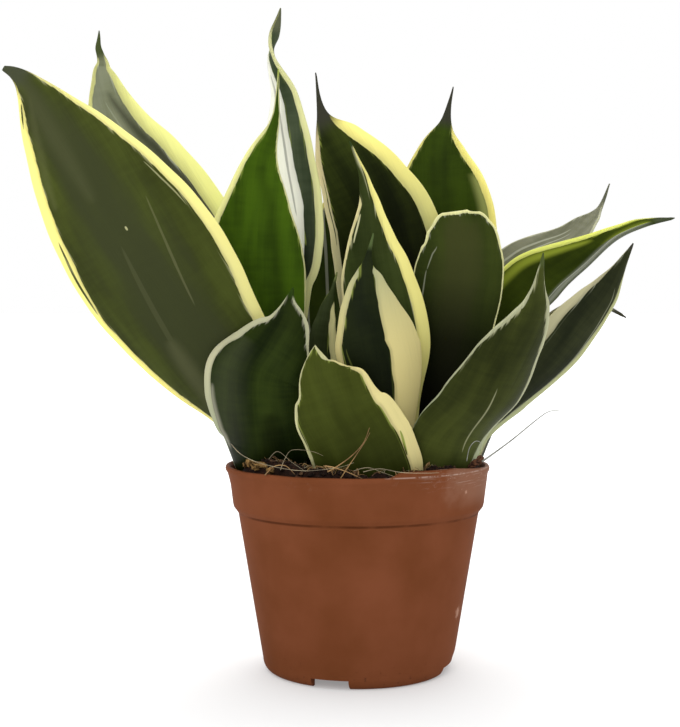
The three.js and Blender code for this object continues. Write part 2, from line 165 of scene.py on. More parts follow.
class Shade:
    """An output of a material's nodes. Arithmetic on it adds Math nodes."""

    def __init__(self, tree, socket=None):
        self.tree = tree
        self.socket = socket

    def node(self, kind, settings=None, inputs=None, out=0):
        """Adds a node of this kind, sets it up, fills its inputs and gives one of its outputs."""
        made = self.tree.nodes.new("ShaderNode" + kind)
        for name, value in (settings or {}).items():
            setattr(made, name, value)
        for name, value in (inputs or {}).items():
            if isinstance(value, Shade):
                self.tree.links.new(value.socket, made.inputs[name])
            else:
                made.inputs[name].default_value = value
        return Shade(self.tree, made.outputs[out])

    __add__ = math_node("ADD")
    __radd__ = math_node("ADD", swapped=True)
    __sub__ = math_node("SUBTRACT")
    __rsub__ = math_node("SUBTRACT", swapped=True)
    __mul__ = math_node("MULTIPLY")
    __rmul__ = math_node("MULTIPLY", swapped=True)
    __truediv__ = math_node("DIVIDE")
    __pow__ = math_node("POWER")
    __abs__ = math_node("ABSOLUTE")
    most = math_node("MAXIMUM")
    least = math_node("MINIMUM")

    def rise(self, low, high):
        """Goes smoothly from 0 to 1 as the value goes from low to high."""
        ends = {"Value": self, "From Min": low, "From Max": high}
        return self.node("MapRange", {"interpolation_type": "SMOOTHSTEP"}, ends)

    def between(self, one, other):
        """The first colour where the value is 0, and the other where it is 1."""
        one, other = (colour(shade) if isinstance(shade, str) else shade for shade in (one, other))
        return self.node("Mix", {"data_type": "RGBA"}, {0: self, 6: one, 7: other}, out=2)

    def dim(self, share):
        """A colour made darker: its brightness times the share."""
        return self.node("VectorMath", {"operation": "SCALE"}, {0: self, "Scale": share})

    def stretch(self, x, y, z):
        return self.node("VectorMath", {"operation": "MULTIPLY"}, {0: self, 1: (x, y, z)})

    def noise(self, scale, detail=3, roughness=0.55):
        inputs = {"Vector": self, "Scale": scale, "Detail": detail, "Roughness": roughness}
        return self.node("TexNoise", None, inputs)

    def pattern(self, x, y, z, detail=2, roughness=0.55):
        """Noise that is stretched along each axis in its own measure."""
        return self.stretch(x, y, z).noise(1, detail, roughness)

    def part(self, axis):
        return self.node("SeparateXYZ", None, {0: self}, out=axis)

    def place(self):
        """The place of each point of the surface, in mm."""
        return self.node("NewGeometry", out="Position").stretch(1 / MM, 1 / MM, 1 / MM)

    def kept(self, name):
        """The vectors that a piece keeps under this name."""
        return self.node("Attribute", {"attribute_name": name}, out="Vector")

    def end(self, kind):
        """Makes this shader the surface of the material or world."""
        output = self.tree.nodes.new("ShaderNodeOutput" + kind)
        self.tree.links.new(self.socket, output.inputs["Surface"])


def first_node(owner):
    """The start of the nodes of a material or world."""
    owner.use_nodes = True
    owner.node_tree.nodes.clear()
    return Shade(owner.node_tree)


def new_material(name):
    material = bpy.data.materials.new(name)
    return material, first_node(material)


def finish_material(material, skin, roughness, shine, relief=None, relief_height=0, glow=None, more=None):
    """Ends a material. Relief is its bumps with their height in mm, and glow how much light comes through."""
    start = Shade(material.node_tree)
    inputs = {"Base Color": skin, "Roughness": roughness, "Specular IOR Level": shine, **(more or {})}
    if relief is not None:
        bumps = {"Height": relief, "Distance": relief_height * MM, "Strength": 1}
        inputs["Normal"] = start.node("Bump", None, bumps)
    shader = start.node("BsdfPrincipled", None, inputs)
    if glow is not None:
        share, tint = glow
        through = start.node("BsdfTranslucent", None, {"Color": tint})
        shader = start.node("MixShader", None, {0: share, 1: shader, 2: through})
    shader.end("Material")
    return material


# Each leaf runs along its rib from foot to tip. A row of the rib is x, y, z and the width across the blade.
# Turn is the way that the inner face looks, in degrees: at 0 towards -Y, at 90 towards +X. Plus is the edge
# on its right. Minus and plus give the width of the pale margin, and light how bright the green is painted:
# painted shade, darker towards the foot and inside the plant, and painted light above 1. Turn, these
# three and veil have a value for each row. The last one given holds for the rows that are left.
# Cup is half the angle that the blade curls through at its foot and at its tip, and tilt lifts the plus side.
# Slant cuts the top down on one side. A jag is a nick in the top: its place from -1 to 1, its spread and its
# depth. Rim is the width of the pale edge at the top, and tip is how many rows the dark tip takes.
# A streak is the edge that it follows, its first and last row, its distance from the edge at both, its width,
# and its tone: above 0 pale, 0 green within the margin, below 0 dark, and above 1 a grey line in the margin.
# Edge 0 is the rib. Half is the colour of the pale streaks.
# Green and bright are the two greens, and pale is the colour of the margin. Plus_pale and plus_half are
# other colours for the plus side. Middle is the green along the rib, and tip_tone the colour of the tip. Veil
# is how grey the pale parts are, as painted shade and sheen, glow how much light comes through them, shade
# how dark their streaky lines and inner side are, stripes how strong, and deep over how many mm they
# brighten towards the edge. That darker inner side is painted shade, and that brightening a painted glow.
# Gloss is how much the blade shines.
USUAL_LEAF = dict(
    tilt=0, slant=0, jags=[], rim=-9, tip=0, streaks=[], half="#939f4c", plus_half=None, plus_pale=None,
    middle=None, tip_tone="#35352b", veil=[0], glow=0.45, gloss=0.02, shade=0.72, stripes=1, deep=2,
)
BEHIND = dict(tip=0.7, green="#252f10", bright="#3a4818", pale="#f2eb9c")
LEAVES = {
    # Its greyer middle and the soft grey bands along its rib are painted sheen.
    "leaf_left_large": dict(
        cup=(35, 14), tip=1, green="#343a14", bright="#4a5320", pale="#fbf6b0", plus_pale="#fff8a8",
        half="#a3a277", middle="#3d4226", tip_tone="#3f4330", glow=0.5, gloss=0.04,
        rib=[(-36, -9, 78, 20), (-41.5, -11.5, 103, 30), (-56, -18, 127.5, 51), (-74, -22, 151.5, 66.5),
             (-88.8, -26, 173, 74.5), (-103, -30, 196, 72), (-116.5, -34, 218, 59), (-130.5, -38, 241, 37),
             (-143.6, -41, 261.6, 11), (-152.8, -42, 267.8, 2.4)],
        turn=[160, 163, 166, 168, 169, 170, 172, 174, 176],
        minus=[4, 5, 5.4, 5.6, 5.4, 4.8, 3.8, 2.6, 0.6, -1],
        plus=[2, 2.6, 3.8, 4.6, 4.4, 7.4, 6, 4.8, 1.2, -1],
        light=[0.5, 0.6, 0.8, 0.85, 0.9, 0.95, 0.95, 1, 0.95, 0.9],
        streaks=[(1, 4.1, 5.5, 3.4, 4.2, 1.6, 0), (-1, 4.9, 5.9, 6, 5.6, 0.6, 0.7),
                 (1, 7.3, 7.7, 1.6, 1.6, 0.9, 0), (0, 3.4, 5.4, -10, -18, 1.1, 0.12),
                 (0, 5.7, 8.4, 3, 1, 7, 0.04), (1, 5.9, 7.8, 9, 6, 4, 0.06),
                 (0, 5.05, 5.13, -3.3, -3.3, 0.9, 1), (0, 2, 4.9, 12, 3, 2.6, 0.045),
                 (0, 1.6, 3.2, 13, 9, 8, 0.08)],
    ),
    # Its grey band along the lower left edge and its greyed lower margin are painted sheen.
    "leaf_front_left_cupped": dict(
        cup=(42, 30), tip=0.8, green="#101906", bright="#28330f", pale="#c5c19e", half="#9c9a86",
        tip_tone="#26380f", glow=0.12,
        rib=[(-37, -24, 78, 28), (-43.3, -25, 92, 34.5), (-43.6, -32, 104, 43), (-45.3, -38.4, 120, 49),
             (-44.8, -41.6, 136, 50), (-38.3, -40.4, 147.5, 38.5), (-31.9, -37.5, 158.8, 21.5),
             (-30.2, -33, 167.2, 6), (-28.5, -32, 173.5, 0.4)],
        turn=[152, 152, 161, 165, 165, 168, 170], minus=[0, 0, 0, 0, 0, 0.3, 2.2, 1.2, 0],
        plus=[0.5, 1.5, 3.8, 5.2, 5.2, 5, 3.4, 1, 0],
        light=[0.54, 0.68, 1.08, 1.35, 1.35, 1.22, 0.94, 0.94, 1.08],
        veil=[0.9, 0.9, 0.8, 0.45, 0.1, 0.3, 0.3, 0.4, 0.6],
        streaks=[(1, 4.3, 5, 5.4, 7.4, 1.3, 0), (1, 1.4, 3.6, 5, 6.4, 3.6, 0.62),
                 (0, 1.8, 5, 11, 12, 14, 0.05), (0, 0.6, 5.6, 1, 2, 5, -0.12), (0, 0.6, 3, -6, -7, 9, -0.5)],
    ),
    "leaf_front_torn": dict(
        cup=(38, 26), slant=0.16, jags=[(0.1, 0.35, 0.1), (-0.5, 0.2, -0.07)], rim=0.6, green="#343a12",
        bright="#464e1c", pale="#d8cc8e", plus_pale="#cbc996", glow=0.1,
        rib=[(8, -41, 78, 40), (5, -46, 93, 46), (-1, -50, 108, 45), (-7.6, -52, 120, 40),
             (-11, -51, 130, 33), (-14, -50, 138, 22), (-14.5, -49, 149, 8)],
        turn=[180], minus=[6, 7, 7.6, 5.4, 3.2, 0.5, 0.2], plus=[1, 1.6, 2.4, 2, 1.4, 0.8, 0.3],
        light=[0.42, 0.64, 0.9, 1.03, 1.06],
        streaks=[(-1, 1.15, 1.75, 6.9, 5.7, 1.1, 0), (1, 2.3, 3.3, 1.8, 1.5, 0.6, 0)],
    ),
    "leaf_front_cream": dict(
        cup=(34, 24), tip=0.6, green="#0f140a", bright="#1c220f", pale="#d6c888", tip_tone="#4b5933",
        glow=0.1,
        rib=[(12, -31, 78, 20), (13, -34, 108, 24), (11.3, -36, 136, 34.5), (8.5, -36, 150, 37),
             (5, -34, 166, 26), (4, -31, 178, 14), (4, -29, 185, 4), (6.5, -26, 197.5, 0.4)],
        turn=[190, 190, 188, 186, 184, 182, 180], minus=[6, 9, 15, 16, 9, 3.6, -0.8, -2],
        plus=[1.5, 1.6, 2.4, 3.4, 3.6, 2.6, -0.8, -2], light=[0.41, 0.54, 0.81, 1.35, 1.49, 1.62, 1.76],
        veil=[0, 0, 0.04, 0.1, 0.35, 0.6, 0.7],
        streaks=[(1, 1.6, 3, 6, 5.4, 0.7, 0.2)],
    ),
    "leaf_centre_yellow_edge": dict(
        cup=(28, 22), tip=0.25, green="#1f270c", bright="#323b1a", pale="#f5ed93", plus_pale="#e4daa0",
        half="#c9c79a", tip_tone="#2c3c1c", glow=0.2,
        rib=[(15, -19, 78, 20), (15.4, -21, 119, 25), (14.4, -23, 150, 37), (9, -22, 178, 33),
             (6, -21, 196, 21), (5, -20, 211, 10), (2, -19, 224, 4), (-4, -18, 239, 0.4)],
        turn=[190, 190, 188, 186, 184, 182, 180], minus=[4, 6, 7.6, 6.4, 4.8, 3.3, 1.5, 0],
        plus=[0.6, 0.6, 0.8, 1.1, 1.6, 1.6, -3], light=[0.48, 0.75, 1.458, 1.584, 1.2],
        streaks=[(1, 3.9, 4.7, 3, 2.2, 0.8, 0.8)],
    ),
    "leaf_tall_centre": dict(
        cup=(26, 16), tip=1.5, green="#191f09", bright="#343d13", pale="#ecdfae", plus_pale="#fff8a6",
        glow=0.4, deep=5,
        rib=[(12, 2, 78, 24), (15, 3, 122, 34), (15.5, 5, 168, 50), (12.5, 7, 198, 52), (2.6, 8, 221, 42.4),
             (-9.2, 8, 241, 25.5), (-17, 8, 255, 5.2), (-20, 7, 274, 0.4)],
        turn=[4], minus=[3, 4, 4, 3.6, 3, 2.4, -0.2, -1], plus=[4, 6, 7, 7.4, 6.8, 6.2, -0.4, -1],
        light=[0.083, 0.098, 0.164, 0.47, 0.84, 1.37, 1.26, 1.05], veil=[0.6, 0.6, 0.6, 0.5, 0.25, 0.03, 0],
        streaks=[(-1, 3, 4.6, 2.6, 1.6, 0.5, 0)],
    ),
    "leaf_back_right": dict(
        cup=(24, 16), tip=1.2, green="#232f0a", bright="#35460f", pale="#fff8a6", half="#a3a962", deep=4,
        rib=[(24, 21, 78, 22), (34, 29, 121, 28), (42.3, 37, 168, 47), (42.7, 39.5, 198, 51),
             (41.1, 39.5, 222.2, 44.5), (40.7, 39.5, 242.4, 23), (42.6, 39.5, 255.4, 5.6),
             (46.2, 40, 272.6, 0.4)],
        turn=[-14, -14, -12, -10], minus=[0.8, 1, 1.2, 1.3, 1.3, 1.1, -0.6, -1],
        plus=[2, 2.6, 3, 3.2, 3.4, 3.2, 0, -1], light=[0.36, 0.48, 0.84, 1.08, 1.2],
        streaks=[(1, 0.6, 4.35, 6.6, 4, 6, 0.7)],
    ),
    "leaf_round_topped": dict(
        cup=(26, 18), jags=[(0.4, 0.1, 0.12)], rim=1.5, green="#2a3311", bright="#3a4419", pale="#f2f0b0",
        half="#a3a68e", middle="#3d411f", glow=0.15,
        rib=[(32, -7, 78, 22), (35, -7, 116, 27), (41, -6, 150, 38), (46, -4, 178, 41), (47.1, -3, 193, 36),
             (45.7, -3, 202, 29), (44.6, -3, 206.5, 20.5), (44.3, -3, 208.8, 11)],
        turn=[-12, -12, -10, -8], minus=[0.2, 0.3, 0.3, 0.5, 0.9, 1.2, 1.3],
        plus=[0.2, 0.3, 0.4, 0.5, 0.7, 1, 1.3], light=[0.011, 0.024, 0.22, 1.01, 1.16, 1.16, 1.1],
        streaks=[(-1, 2.1, 3.1, 5, 5.6, 0.6, 0.5), (-1, 3.1, 4, 5.8, 6, 0.6, 0.5)],
    ),
    "leaf_front_right": dict(
        cup=(36, 20), tip=0.5, green="#252a10", bright="#3c421b", pale="#b4b692", half="#b4b48c",
        tip_tone="#444e2a", glow=0.12,
        rib=[(34, -28, 78, 25), (41, -35, 105, 37.5), (55, -46, 124, 42), (65, -56, 144, 34),
             (70, -61, 155, 26), (73.5, -66, 165, 15), (74.2, -69, 174, 6), (75.3, -74, 187, 0.4)],
        turn=[200, 203, 206, 208], minus=[4, 5, 3.2, 3.4, 3.2, 2.6, 0.6, 0],
        plus=[0.4, 0.4, 0.5, 0.8, 1.6, 1.7, 0.5, 0], light=[1.34, 1.68, 1.12, 1.01, 1.12, 1.34, 1.46, 1.34],
        veil=[0.6, 0.5, 0.1, 0],
        streaks=[(0, 0.9, 2.35, -5, 0.5, 0.8, 0.45)],
    ),
    "leaf_right_low": dict(
        cup=(34, 22), tip=0.35, green="#1a1e11", bright="#2e321d", pale="#b0b380", plus_pale="#b5b08c",
        half="#a9ab90", glow=0.12,
        rib=[(42, -14, 78, 20), (49, -16.6, 104, 22), (66.2, -21.6, 123, 28.5), (84.8, -25, 140.8, 30),
             (98.4, -27, 157.6, 26.6), (108.2, -28, 170, 18.4), (114.4, -29, 181.3, 7.6),
             (120.5, -30, 193, 0.4)],
        turn=[205], minus=[6, 8, 7.5, 5.5, 4, 3, 0.8, 0], plus=[-1, -1, 4, 6.5, 4.2, 2, 0.2, 0],
        light=[1.008, 1.512, 1.4, 1.4, 1.4, 1.26, 1.12], veil=[0.3, 0.35, 0.3, 0.1, 0],
        streaks=[(-1, 2.2, 5.4, 6.5, 4.5, 0.7, 0.35)],
    ),
    "leaf_far_right_channelled": dict(
        cup=(40, 40), tilt=-24, tip=0.8, green="#28320e", bright="#3a4612", pale="#f0f48c", half="#9ba838",
        plus_half="#8d8f84", tip_tone="#3c4230", gloss=0,
        rib=[(41, 3, 78, 18), (52, 5, 108, 25), (68.5, 11, 152, 40), (85.5, 18, 173.8, 41),
             (105, 23, 187, 31), (123, 27, 198.8, 15), (138, 30, 204.8, 8.5), (152.5, 32, 208, 0.4)],
        turn=[-90, -85, -66, -62, -75, -88, -90], minus=[2, 2, 1.6, 2, 3, 2.4, 1, 0], plus=[-1],
        light=[0.3, 0.4, 0.9, 0.9, 0.8, 0.9, 1],
        streaks=[(-1, 1.4, 4.6, 5.2, 4.6, 4.4, 0.55), (1, 1.2, 6.2, 5, 2.5, 9, 0.5),
                 (1, 2.2, 6.2, 9.5, 3.5, 1.1, 0.9)],
    ),
    # Its grey greens are painted sheen.
    "leaf_right_back": dict(
        cup=(30, 28), tilt=-18, tip=0.9, green="#63654e", bright="#8a8a74", pale="#d2d2b4", half="#b9bba6",
        tip_tone="#5a5c4c", gloss=0.01,
        rib=[(40, 25, 78, 17), (54, 37, 122, 27), (66, 48, 165, 41), (86, 55, 184.5, 42),
             (105.4, 61, 196.6, 34), (116, 65, 207, 20), (122.6, 68, 215, 4.6), (128.2, 72, 228, 0.4)],
        turn=[-60, -60, -58, -60, -72, -74], minus=[0.6, 0.8, 0.9, 0.9, 0.8, 0.8, 0.2, 0],
        plus=[0.6, 0.8, 1, 1.2, 1.4, 1.2, 0.4, 0], light=[0.4, 0.6, 1],
        streaks=[(-1, 1.6, 4.6, 8, 6, 1.4, 0.4), (-1, 2, 4.4, 13, 9, 1, 0.4)],
    ),
    "leaf_right_small_arching": dict(
        cup=(34, 30), tilt=-20, tip=1, green="#4c5040", bright="#6c7058", pale="#cdc8a0",
        rib=[(48.6, -2, 78, 10), (61, -1.4, 110, 14), (78, 0.4, 139, 20), (92, 4.6, 155, 22),
             (104, 11, 163, 18), (113, 15, 165, 9), (119, 17, 164, 4), (126.5, 18, 160, 0.4)],
        turn=[-90, -90, -88, -86], minus=[1, 1.2, 1.6, 1.8, 1.6, 0.8, 0.2, 0],
        plus=[1, 1.2, 1.6, 1.8, 1.6, 0.8, 0.2, 0], light=[0.4, 0.6, 0.8, 1],
    ),
    # Its grey greens are painted sheen.
    "leaf_back_left": dict(
        cup=(28, 16), tip=1.9, green="#5e6349", bright="#7d8167", pale="#f6f6b4", half="#b3b7a0",
        tip_tone="#434c2b", shade=0.6, deep=7,
        rib=[(-31, 27, 78, 22), (-49, 30, 130, 34), (-72, 31, 176, 50), (-90, 34, 206, 54),
             (-106, 37, 232, 46), (-117.5, 39, 254, 30), (-124.5, 41, 277, 12.4), (-125.4, 41.6, 285.5, 5),
             (-127.3, 42, 292, 3), (-127, 42, 300.4, 0.4)],
        turn=[14], minus=[1, 1, 1.6, 1.6, 1.8, 2, 1.6, 0.8, -1], plus=[4, 6, 9, 9, 8.4, 6.4, 3, 1, -1],
        light=[0.4, 0.5, 0.8, 0.95, 1.1, 1.25, 1.3, 1.2, 1, 0.9],
        streaks=[(1, 0.8, 5.7, 14, 8.5, 5, -0.6), (1, 2.4, 5.6, 21, 12, 0.9, 0.25),
                 (-1, 3, 5.4, 12, 8, 0.9, 0.2), (-1, 4, 6.6, 4.5, 3, 8, 0.22)],
    ),
    # Its bright green paints light that shines through it, and its pale tip is a painted highlight.
    "leaf_left_centre_bright": dict(
        cup=(12, 18), tip=0.25, green="#2b3f09", bright="#446010", pale="#fdfcbc", tip_tone="#9aa651",
        rib=[(-32, 2, 78, 24), (-44, 3, 122, 33), (-48, 4, 165, 47), (-48.5, 4, 190, 46), (-47.5, 4, 212, 32),
             (-45, 4, 233, 16), (-38.5, 3, 252, 4), (-37, 2, 275, 0.4)],
        turn=[4], minus=[2, 2.4, 2.8, 3, 2.8, 2, 0.6, 0], plus=[0.6, 0.6, 0.6, 0.6, 0.6, 0.6, 0.4, 0],
        light=[0.43, 0.65, 1.08, 1.08, 1.08, 1.1, 1],
        streaks=[(1, 1.2, 5, 16, 7, 6, -0.25)],
    ),
    "leaf_tall_twisted": dict(
        cup=(16, 30), tip=0.9, green="#36422c", bright="#566048", pale="#fcfcf2", plus_pale="#f2f2c6",
        tip_tone="#565a44", glow=0.6, shade=0.7, stripes=1.5, deep=8,
        rib=[(-26, 13, 78, 20), (-37, 14, 122, 20), (-36.2, 15, 172, 27), (-31.8, 14.6, 190, 29),
             (-31.4, 14, 212, 28.6), (-33, 13, 241, 22), (-34.4, 11, 264, 13), (-40, 8, 281, 8),
             (-38.6, 5, 291, 6.6), (-36, 2, 303, 0.4)],
        turn=[12, 12, 14, 15, 16, 12, -12, -64, -128, -145], minus=[8, 12, 19, 21, 20, 12, 5, 1.6, 0.4, 0],
        plus=[0, 2, 3.6, 4, 3.8, 3.1, 2.5, 2.4, 1.1, 0], light=[0.3, 0.4, 0.5, 0.6, 0.9, 1, 1, 1.1, 1, 0.9],
        streaks=[(-1, 3.8, 5.7, 17, 4.4, 1.1, 1.5), (-1, 5, 6.6, 3.6, 1.2, 1, 1.4),
                 (-1, 3.2, 5.5, 21.5, 7.5, 3, 0.8)],
    ),
    "leaf_centre_small": dict(
        cup=(30, 24), tip=0.5, green="#1c230c", bright="#363e24", pale="#ebe6a6", tip_tone="#5c6438",
        glow=0.25,
        rib=[(-12, -24, 78, 18), (-15, -24, 112, 19), (-16.7, -24, 135, 16), (-16.2, -23, 148, 13.2),
             (-15, -23, 158, 9.6), (-13.5, -22, 166, 5.8), (-11.8, -21.5, 171.6, 2.4),
             (-9.6, -21, 180.5, 0.4)],
        turn=[180], minus=[2, 3, 4, 3.6, 3.2, 1.2, -2, 0], plus=[-0.5],
        light=[0.299, 0.448, 1.046, 1.3, 1.3, 1.43, 1.56, 1.69],
    ),
    "leaf_behind_left": dict(
        cup=(26, 18), **BEHIND,
        rib=[(-22, 39, 78, 20), (-34, 45, 112, 30), (-44, 53, 140, 34), (-52, 61, 160, 22), (-56, 66, 172, 6),
             (-58, 70, 182, 0.4)],
        turn=[12], minus=[1.5, 2, 3, 2.6, 1, 0], plus=[1.5, 2, 2.6, 2.2, 0.8, 0], light=[0.5, 0.8, 1],
        streaks=[(1, 1, 2.4, 5, 4, 0.8, 0.6)],
    ),
    "leaf_behind_centre": dict(
        cup=(26, 18), half="#b4b4a6", **BEHIND,
        rib=[(-4, 29, 78, 20), (-7, 36, 118, 34), (-10, 44, 158, 38), (-12, 50, 188, 31), (-14, 54, 208, 16),
             (-14, 57, 220, 4), (-13, 58, 228, 0.4)],
        turn=[0], minus=[1.5, 2, 3, 3, 2.4, 0.6, 0], plus=[1.5, 2, 4.4, 4, 2.6, 0.6, 0], light=[0.5, 0.8, 1],
        streaks=[(-1, 1.4, 3, 5, 4.4, 0.8, 0.6), (0, 1.4, 4.6, -5, -3, 1.5, 0.42)],
    ),
    "leaf_behind_right": dict(
        cup=(26, 18), **BEHIND,
        rib=[(5, 43, 78, 16), (13, 50, 112, 27), (22, 58, 142, 32), (28, 66, 166, 21), (31, 71, 178, 6),
             (33, 74, 188, 0.4)],
        turn=[-14], minus=[1.5, 2.6, 3.4, 2.6, 1, 0], plus=[1.5, 2, 2.4, 2.2, 0.8, 0], light=[0.5, 0.8, 1],
        streaks=[(-1, 1, 2.6, 6, 5, 1, 0.5)],
    ),
    "leaf_behind_far_left": dict(
        cup=(28, 22), **BEHIND,
        rib=[(-45, 12, 78, 13), (-49, 12, 98, 16), (-63, 9, 116, 21), (-79, 9, 133, 23), (-93, 15, 147, 17),
             (-100, 18, 153, 6), (-106, 21, 157, 0.4)],
        turn=[60, 60, 58, 54, 52], minus=[1, 1.5, 2, 2.4, 2, 0.8, 0], plus=[1, 1.5, 2, 2.4, 2, 0.8, 0],
        light=[0.5, 0.8, 1],
        streaks=[(1, 1.4, 3.4, 5, 4.4, 0.7, 0.5)],
    ),
    "leaf_behind_far_right": dict(
        cup=(28, 22), **BEHIND,
        rib=[(22, 42, 78, 12), (31, 47, 100, 18), (46, 54, 120, 25), (64, 58, 137, 27), (78, 65, 147, 18),
             (85, 69, 150, 6), (91, 72, 152, 0.4)],
        turn=[-30, -36, -42, -44, -46], minus=[1, 1.5, 2.4, 3, 2.4, 0.8, 0], plus=[1, 1.5, 2, 2.4, 2, 0.8, 0],
        light=[0.5, 0.8, 1],
        streaks=[(-1, 1.6, 3.6, 6, 5, 0.8, 0.5)],
    ),
}


def clamp(value):
    return max(0, min(1, value))


def circle(sides):
    """Angles round a full turn."""
    return [FULL_TURN * k / sides for k in range(sides)]


def polar(radius, angle):
    return radius * math.cos(angle), radius * math.sin(angle)


def row_at(rows, s):
    """The rows' values at places s along them, on a smooth curve."""
    last = len(rows) - 1
    i = np.clip(np.floor(s).astype(int), 0, last - 1)
    f = (s - i)[..., None]
    before = rows[np.maximum(i - 1, 0)]
    start = rows[i]
    end = rows[i + 1]
    after = rows[np.minimum(i + 2, last)]
    slope_in = (end - before) / 2
    slope_out = (after - start) / 2
    rise = end - start
    bend = 3 * rise - 2 * slope_in - slope_out
    turn_back = slope_in + slope_out - 2 * rise
    return start + f * (slope_in + f * (bend + f * turn_back))


def value_at(values, s):
    """Values at places s along the rib. The last one given holds for the rest."""
    return np.interp(s, range(len(values)), values)


def unit(vectors):
    """The vectors at a length of 1."""
    return vectors / np.linalg.norm(vectors, axis=-1, keepdims=True)


def leaf_points(leaf, rows, s, u, side):
    """Points of a leaf: s runs along its rib, u across from -1 to 1, and side is 1 on the inner face."""
    last = len(rows) - 1
    at = row_at(rows, s)
    ahead = row_at(rows, np.minimum(s + CURVE_STEP, last))[..., :3]
    behind = row_at(rows, np.maximum(s - CURVE_STEP, 0))[..., :3]
    along = unit(ahead - behind)
    tilt = math.radians(leaf["tilt"])
    heading = np.radians(at[..., 4])
    across = np.stack([
        math.cos(tilt) * np.cos(heading),
        math.cos(tilt) * np.sin(heading),
        np.full(heading.shape, math.sin(tilt)),
    ], -1)
    across = unit(across - along * np.sum(across * along, -1, keepdims=True))
    inward = np.cross(across, along)
    share = s / last
    cup = np.radians(leaf["cup"][0] + (leaf["cup"][1] - leaf["cup"][0]) * share)
    chord = np.maximum(at[..., 3], LEAST_WIDTH)
    rib = ROOT_THICKNESS + (TIP_THICKNESS - ROOT_THICKNESS) * share
    half = (MARGIN_THICKNESS + (np.minimum(rib, chord) - MARGIN_THICKNESS) * (1 - u * u)) / 2
    edge = (1 - np.abs(u)) * chord / 2
    inset = np.clip(1 - edge / np.minimum(ROUNDING, chord / 4), 0, 1)
    half = half * np.sqrt(1 - inset * inset)
    wave = np.sin(heading + s * RIPPLE_WAVES + np.sign(u) * RIPPLE_APART) * np.sin(s * RIPPLE_SWELL + 1)
    radius = chord / 2 / np.sin(cup) + RIPPLE * np.abs(u) ** 5 * wave
    reach_out = radius - side * half
    sideways = across * (reach_out * np.sin(cup * u))[..., None]
    inwards = inward * (radius - reach_out * np.cos(cup * u))[..., None]
    return at[..., :3] + sideways + inwards


def distance_to_line(points, line):
    """The distance from each point to a line of straight stretches."""
    start = line[:-1]
    step = line[1:] - start
    length = np.maximum(np.sum(step * step, -1), 1e-9)
    nearest = np.full(len(points), np.inf)
    for a, d, size in zip(start, step, length):
        away = points - a
        t = np.clip(away @ d / size, 0, 1)[:, None]
        nearest = np.minimum(nearest, np.linalg.norm(away - t * d, axis=-1))
    return nearest


def ring_faces(rings, inward=False):
    """The faces between rings of points. A ring of one point is a middle, where the faces meet."""
    sides = max(len(ring) for ring in rings)
    faces = []
    for low, high in zip(rings, rings[1:]):
        for k in range(sides):
            n = (k + 1) % sides
            a, b, c, d = low[k % len(low)], low[n % len(low)], high[n % len(high)], high[k % len(high)]
            faces.append(tuple(dict.fromkeys((a, d, c, b) if inward else (a, b, c, d))))
    return faces


def tube_faces(count, size):
    """The faces of a tube of count points in rings of one size, closed by a flat face at each end."""
    rings = [range(start, start + size) for start in range(0, count, size)]
    return ring_faces(rings) + [tuple(rings[0])[::-1], tuple(rings[-1])]


def add_object(name, data):
    made = bpy.data.objects.new(name, data)
    bpy.context.collection.objects.link(made)
    return made


def add_mesh(name, points, faces, material, smooth=True):
    """A piece of the object from points in mm."""
    mesh = bpy.data.meshes.new(name)
    mesh.from_pydata((np.array(points) * MM).tolist(), [], faces)
    mesh.polygons.foreach_set("use_smooth", [smooth] * len(mesh.polygons))
    mesh.materials.append(material)
    return add_object(name, mesh)


def joined(name, shapes, material, smooth=True):
    """One piece from several shapes, each given as its points and faces."""
    points = []
    faces = []
    for corners, sides in shapes:
        faces += [tuple(len(points) + k for k in side) for side in sides]
        points += corners
    return add_mesh(name, points, faces, material, smooth)


def leaf_strips(width):
    """Places across a blade from one edge to the other, close together where the edges are rounded."""
    half = width / 2
    edge = min(ROUNDING, half / 2)
    near = [share * edge for share in STRIPS_EDGE]
    inner = np.linspace(edge, half, STRIPS_INNER + 1)
    u = 1 - np.concatenate([near, inner]) / half
    return np.concatenate([-u, u[-2::-1]])


